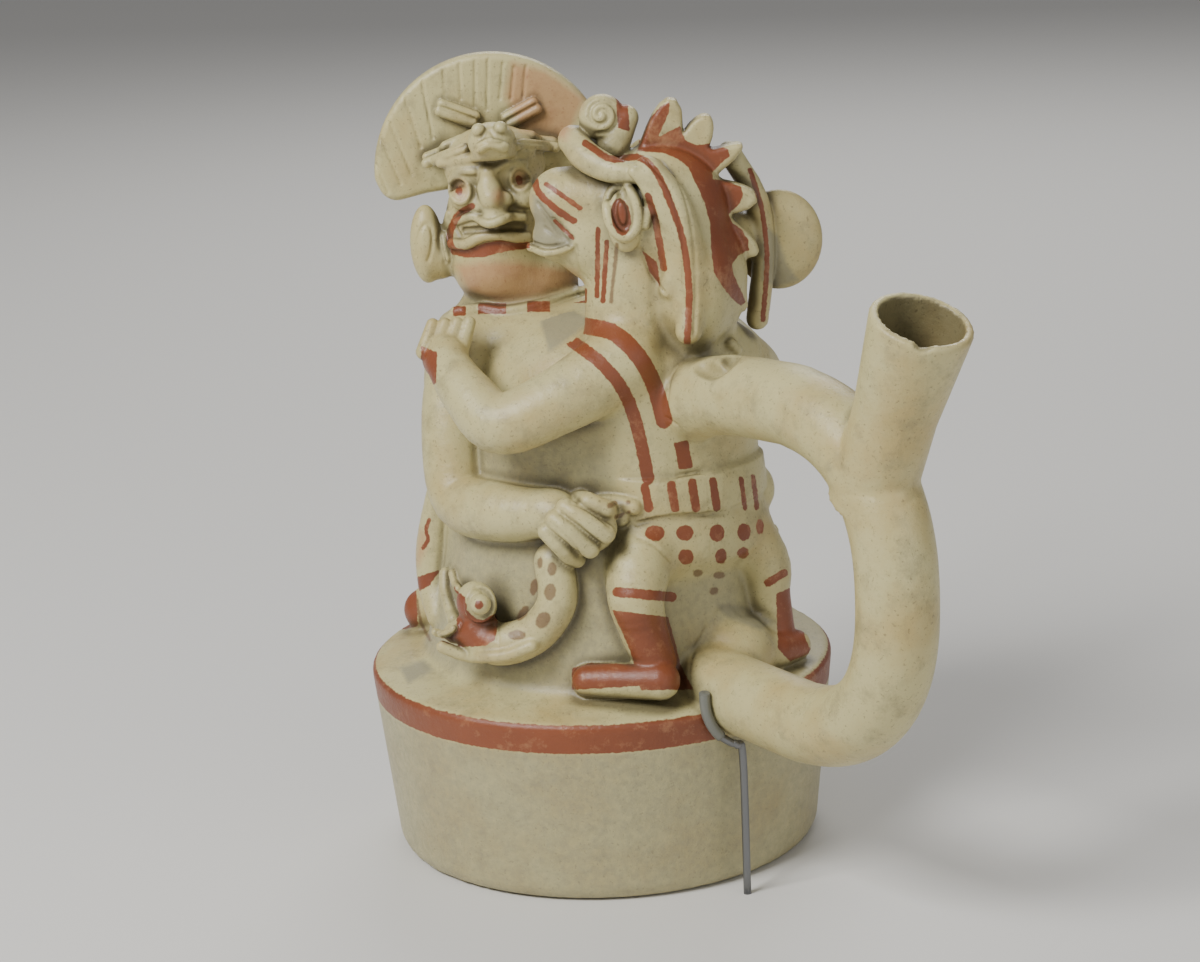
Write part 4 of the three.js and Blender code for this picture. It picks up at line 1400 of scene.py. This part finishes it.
@dataclass
class Vessel:
    """The clay vessel: builds the field, meshes each region and lays the slips on."""

    modelling: Modelling = field(default_factory=Modelling)
    drawing: Drawing = field(default_factory=Drawing)
    painting: Painting = field(default_factory=Painting)
    whole_low: tuple = (-84.0, -84.0, -8.0)
    whole_high: tuple = (184.0, 84.0, 262.0)
    whole_step: float = 1.2
    band_height: float = 55.0
    band_half: float = 4.5
    band_radius: float = 60.0
    band_end: tuple = (62.0, 62.0, 12.5)
    bare_reach: float = 1.5
    bare_from: float = 64.0
    bare_top: float = 152.0
    bare_fade: float = 12.0
    bare_share: float = 0.7
    bare_wall: float = 50.0
    shade_reaches: tuple = (2.0, 4.0, 7.0)
    shade_gain: float = 1.4
    shade_floor: float = 0.25
    shade_most: float = 0.7

    def steps(self) -> list[Step]:
        """Returns every step before the drawn lines and the hollows."""
        m = self.modelling
        return m.masses() + m.limbs() + m.serpents() + m.rear_head() + m.front_head() + m.stirrup()

    def build(self, finish: bpy.types.Material) -> None:
        """Builds and dresses every region of the vessel."""
        steps = self.steps()
        whole = Clay(np.array(self.whole_low), np.array(self.whole_high), self.whole_step)
        whole.work(steps)
        for lines in (self.drawing.raised(), self.drawing.scored()):
            drawn = [step for line in lines for step in line.steps(whole)]
            whole.work(drawn)
            steps = steps + drawn
        steps = steps + self.modelling.hollows()
        for region in REGIONS:
            self.piece(region, steps, whole, finish)

    def piece(self, region: Region, steps: list[Step], whole: Clay, finish: bpy.types.Material) -> None:
        """Meshes one region and adds it to the scene.

        Args:
            region: what to mesh.
            steps: every step of the modelling.
            whole: the coarse field of the outside, for shade in the creases.
            finish: the material.
        """
        low, high = np.array(region.low) - LAP, np.array(region.high) + LAP
        band = 3 * region.step
        clay = Clay(low - band, high + band, region.step)
        clay.work(steps)
        full = clay.values.copy()
        x, y, z = (clay.axes[i].reshape([-1 if j == i else 1 for j in range(3)]) for i in range(3))
        for axis, i in ((x, 0), (y, 1), (z, 2)):
            np.maximum(clay.values, (low[i] - axis).astype(np.float32), out=clay.values)
            np.maximum(clay.values, (axis - high[i]).astype(np.float32), out=clay.values)
        grid = openvdb.FloatGrid(float(band))
        grid.copyFromArray(np.clip(clay.values, -band, band))
        points, quads = grid.convertToQuads(isovalue=0.0)
        points = points * region.step + clay.low
        clay.values = full
        mesh = bpy.data.meshes.new(region.name)
        mesh.vertices.add(len(points))
        mesh.vertices.foreach_set("co", (points * MM).astype(np.float32).ravel())
        mesh.loops.add(quads.size)
        mesh.loops.foreach_set("vertex_index", quads.astype(np.int32).ravel())
        mesh.polygons.add(len(quads))
        mesh.polygons.foreach_set("loop_start", np.arange(0, quads.size, 4, dtype=np.int32))
        mesh.polygons.foreach_set("loop_total", np.full(len(quads), 4, np.int32))
        mesh.update()
        mesh.validate()
        mesh.polygons.foreach_set("use_smooth", np.ones(len(mesh.polygons), bool))
        normals = clay.slope(points)
        mesh.normals_split_custom_set_from_vertices(normals.astype(np.float32))
        for name, values in self.coats(points, normals, whole).items():
            mesh.attributes.new(name, "FLOAT", "POINT").data.foreach_set("value", values.astype(np.float32))
        mesh.materials.append(finish)
        piece = bpy.data.objects.new(region.name, mesh)
        bpy.context.scene.collection.objects.link(piece)
        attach(piece, "root")
        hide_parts("vessel")
        LOG.info("%s: %d points, %d triangles", region.name, len(points), 2 * len(quads))

    def coats(self, points: np.ndarray, normals: np.ndarray, whole: Clay) -> dict[str, np.ndarray]:
        """The slip on each point: the painted coats, the red band round the drum, bare clay and painted shade
        in the creases.

        Args:
            points: where to work it out.
            normals: the outward directions there.
            whole: the coarse field of the outside.

        Returns:
            The coats by signed distance in mm, and bare grey clay and painted crease shade as shares.
        """
        x, y, z = points.T
        layers = self.painting.lay(points, normals, whole)
        outside = np.hypot(x, y) > self.band_radius
        band = np.where(outside, np.abs(z - self.band_height) - self.band_half, 5.0)
        end_x, end_z, end_radius = self.band_end
        band = np.where(x > end_x, np.maximum(band, end_radius - np.hypot(y, z - end_z)), band)
        layers[Coat.RED] = np.minimum(layers[Coat.RED], band)
        depth = np.abs(self.modelling.chamber.distance(x, y, z)) / self.bare_reach
        bare = np.clip(1 - depth, 0, 1) * (z > self.bare_from)
        bare = bare * np.clip((self.bare_top - z) / self.bare_fade, 0, 1) * self.bare_share
        bare = np.maximum(bare, self.bare_share * (z < self.bare_wall) * outside)
        # Painted shade: the more clay there is round a point, the darker it is painted, as in creases and
        # recesses.
        shade = np.zeros(len(points))
        for reach in self.shade_reaches:
            near = 1 - whole.sample(points + normals * reach) / reach
            shade += np.clip(near, 0, 1) / len(self.shade_reaches)
        painted_crease_shade = np.clip(shade * self.shade_gain - self.shade_floor, 0, self.shade_most)
        return {coat.value: gap for coat, gap in layers.items()} | {"bare": bare, "painted_crease_shade": painted_crease_shade}


@dataclass
class SupportRod:
    """The rod that holds the stirrup up: a bent wire, and the soft sleeve on its hook."""

    radius: float = 1.2
    sleeve: float = 1.7
    stand: float = 77.5
    tube_height: float = 62.0
    clear: float = 14.05
    rise: float = 1.0
    around: int = 24
    bare: int = 32
    dome: int = 4
    hook_turn: float = 0.25
    hook_step: float = 0.8

    def line(self) -> np.ndarray:
        """The rod's centre line: up from the floor, then round under the tube and up its near side."""
        y, under = -self.clear * self.hook_turn, self.tube_height - self.clear
        rows = [(self.stand, y, 0), (self.stand, y, under - 4), (self.stand, y - 2, under + 1)]
        for i in range(1, 7):
            turn = -math.pi / 2 * (1 + i / 6) - self.hook_turn
            across, up = self.clear * math.cos(turn), self.clear * math.sin(turn)
            rows.append((self.stand - i * self.hook_step, across, self.tube_height + up))
        rows.append((rows[-1][0], rows[-1][1], rows[-1][2] + self.rise))
        return np.array(rows)

    def tube(
        self, name: str, path: np.ndarray, radius: float, finish: bpy.types.Material
    ) -> bpy.types.Object:
        """A round bar along a path: centre + radius (cos v across + sin v rise), its last end drawn in to a
        dome.

        Args:
            name: the piece's name.
            path: rows of its centre line in mm.
            radius: its radius in mm.
            finish: its material.

        Returns:
            The piece.
        """
        around = self.around
        ahead = np.gradient(path, axis=0)
        ahead /= np.linalg.norm(ahead, axis=1, keepdims=True)
        across = np.cross(ahead, [1.0, 0.02, 0.01])
        across /= np.linalg.norm(across, axis=1, keepdims=True)
        rise = np.cross(ahead, across)
        turn = np.linspace(0, 2 * np.pi, around, endpoint=False)
        share = np.ones(len(path))
        share[-self.dome :] = np.sin(np.linspace(math.pi / 2, 0.25, self.dome))
        rim = np.cos(turn)[None, :, None] * across[:, None] + np.sin(turn)[None, :, None] * rise[:, None]
        points = (path[:, None] + radius * share[:, None, None] * rim).reshape(-1, 3)
        n, j = len(path), np.arange(around)
        i = np.arange(n - 1)[:, None] * around
        k = (j + 1) % around
        quads = np.stack([i + j, i + k, i + around + k, i + around + j], -1).reshape(-1, 4)
        mesh = bpy.data.meshes.new(name)
        faces = quads.tolist() + [list(range(around))[::-1], list(range((n - 1) * around, n * around))]
        mesh.from_pydata((points * MM).tolist(), [], faces)
        mesh.validate()
        mesh.polygons.foreach_set("use_smooth", np.ones(len(mesh.polygons), bool))
        mesh.materials.append(finish)
        piece = bpy.data.objects.new(name, mesh)
        bpy.context.scene.collection.objects.link(piece)
        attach(piece, "root")
        LOG.info("%s: %d faces", name, len(faces))
        return piece

    def build(self) -> None:
        """Builds the wire and its sleeve."""
        # Bare drawn wire: grey metal with a dull streak of light down it.
        wire_finish = Graph("drawn_steel_wire").finish(
            Base_Color=linear("#7E7F80"), Metallic=0.9, Roughness=0.42
        )
        # Soft tubing over the hook: darker than the wire, and no metal in its shine.
        sleeve_finish = Graph("clear_grey_sleeve").finish(Base_Color=linear("#6F7068"), Roughness=0.35)
        line = flowing(self.line(), 70)
        wire = self.tube("support_rod_wire", line, self.radius, wire_finish)
        sleeve = self.tube("support_rod_sleeve", line[self.bare :], self.sleeve, sleeve_finish)
        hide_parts("support_rod")
        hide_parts("support_rod")


@dataclass
class Studio:
    """The plain pale floor, soft light and the camera. A light is (name, place in m, size in m, watts)."""

    floor_half: float = 6.0
    air: float = 0.28
    aim: tuple = (0.03, 0.0, 0.12)
    lights: tuple = (
        ("key", (0.15, -1.1, 1.15), 0.6, 26.0),
        ("fill", (1.3, 0.1, 0.6), 1.2, 5.0),
        ("back", (-0.9, 0.9, 1.1), 0.9, 10.0),
    )

    def build(self) -> None:
        """Makes the floor, the lights and the camera."""
        mesh = bpy.data.meshes.new("floor")
        r = self.floor_half
        mesh.from_pydata([(-r, -r, 0), (r, -r, 0), (r, r, 0), (-r, r, 0)], [], [(0, 1, 2, 3)])
        floor = bpy.data.objects.new("floor", mesh)
        # Matt pale paper: it shows the vessel's shadow and nothing else.
        mesh.materials.append(Graph("pale_studio_floor").finish(Base_Color=linear("#D9D7D2"), Roughness=0.8))
        bpy.context.scene.collection.objects.link(floor)
        for light in self.lights:
            self.light(*light)
        world = bpy.data.worlds.new("studio")
        world.use_nodes = True
        sky = world.node_tree.nodes["Background"]
        sky.inputs[0].default_value, sky.inputs[1].default_value = linear("#E8E8EA"), self.air
        bpy.context.scene.world = world
        camera = bpy.data.cameras.new("camera")
        camera.lens, camera.sensor_width, camera.sensor_fit = LENS.lens_mm, 36.0, "HORIZONTAL"
        holder = bpy.data.objects.new("camera", camera)
        axes = np.column_stack([LENS.right, LENS.up, -LENS.ahead])
        holder.matrix_world = Matrix.Translation(Vector(LENS.place * MM)) @ Matrix(axes.tolist()).to_4x4()
        bpy.context.scene.collection.objects.link(holder)
        bpy.context.scene.camera = holder

    def light(self, name: str, place: tuple, size: float, power: float) -> None:
        """Makes a square soft light that looks at the vessel.

        Args:
            name: its name.
            place: where it stands, in metres.
            size: its side, in metres.
            power: its power in watts.
        """
        lamp = bpy.data.lights.new(name, "AREA")
        lamp.size, lamp.energy = size, power
        holder = bpy.data.objects.new(name, lamp)
        holder.location = place
        aim = Vector(self.aim) - Vector(place)
        holder.rotation_euler = aim.to_track_quat("-Z", "Y").to_euler()
        bpy.context.scene.collection.objects.link(holder)


def main() -> None:
    """Builds the vessel, its rod and the studio in order."""
    logging.basicConfig(level=logging.INFO, format="%(message)s")
    Vessel().build(SlippedClay().build())
    SupportRod().build()
    Studio().build()


if __name__ == "__main__":
    main()
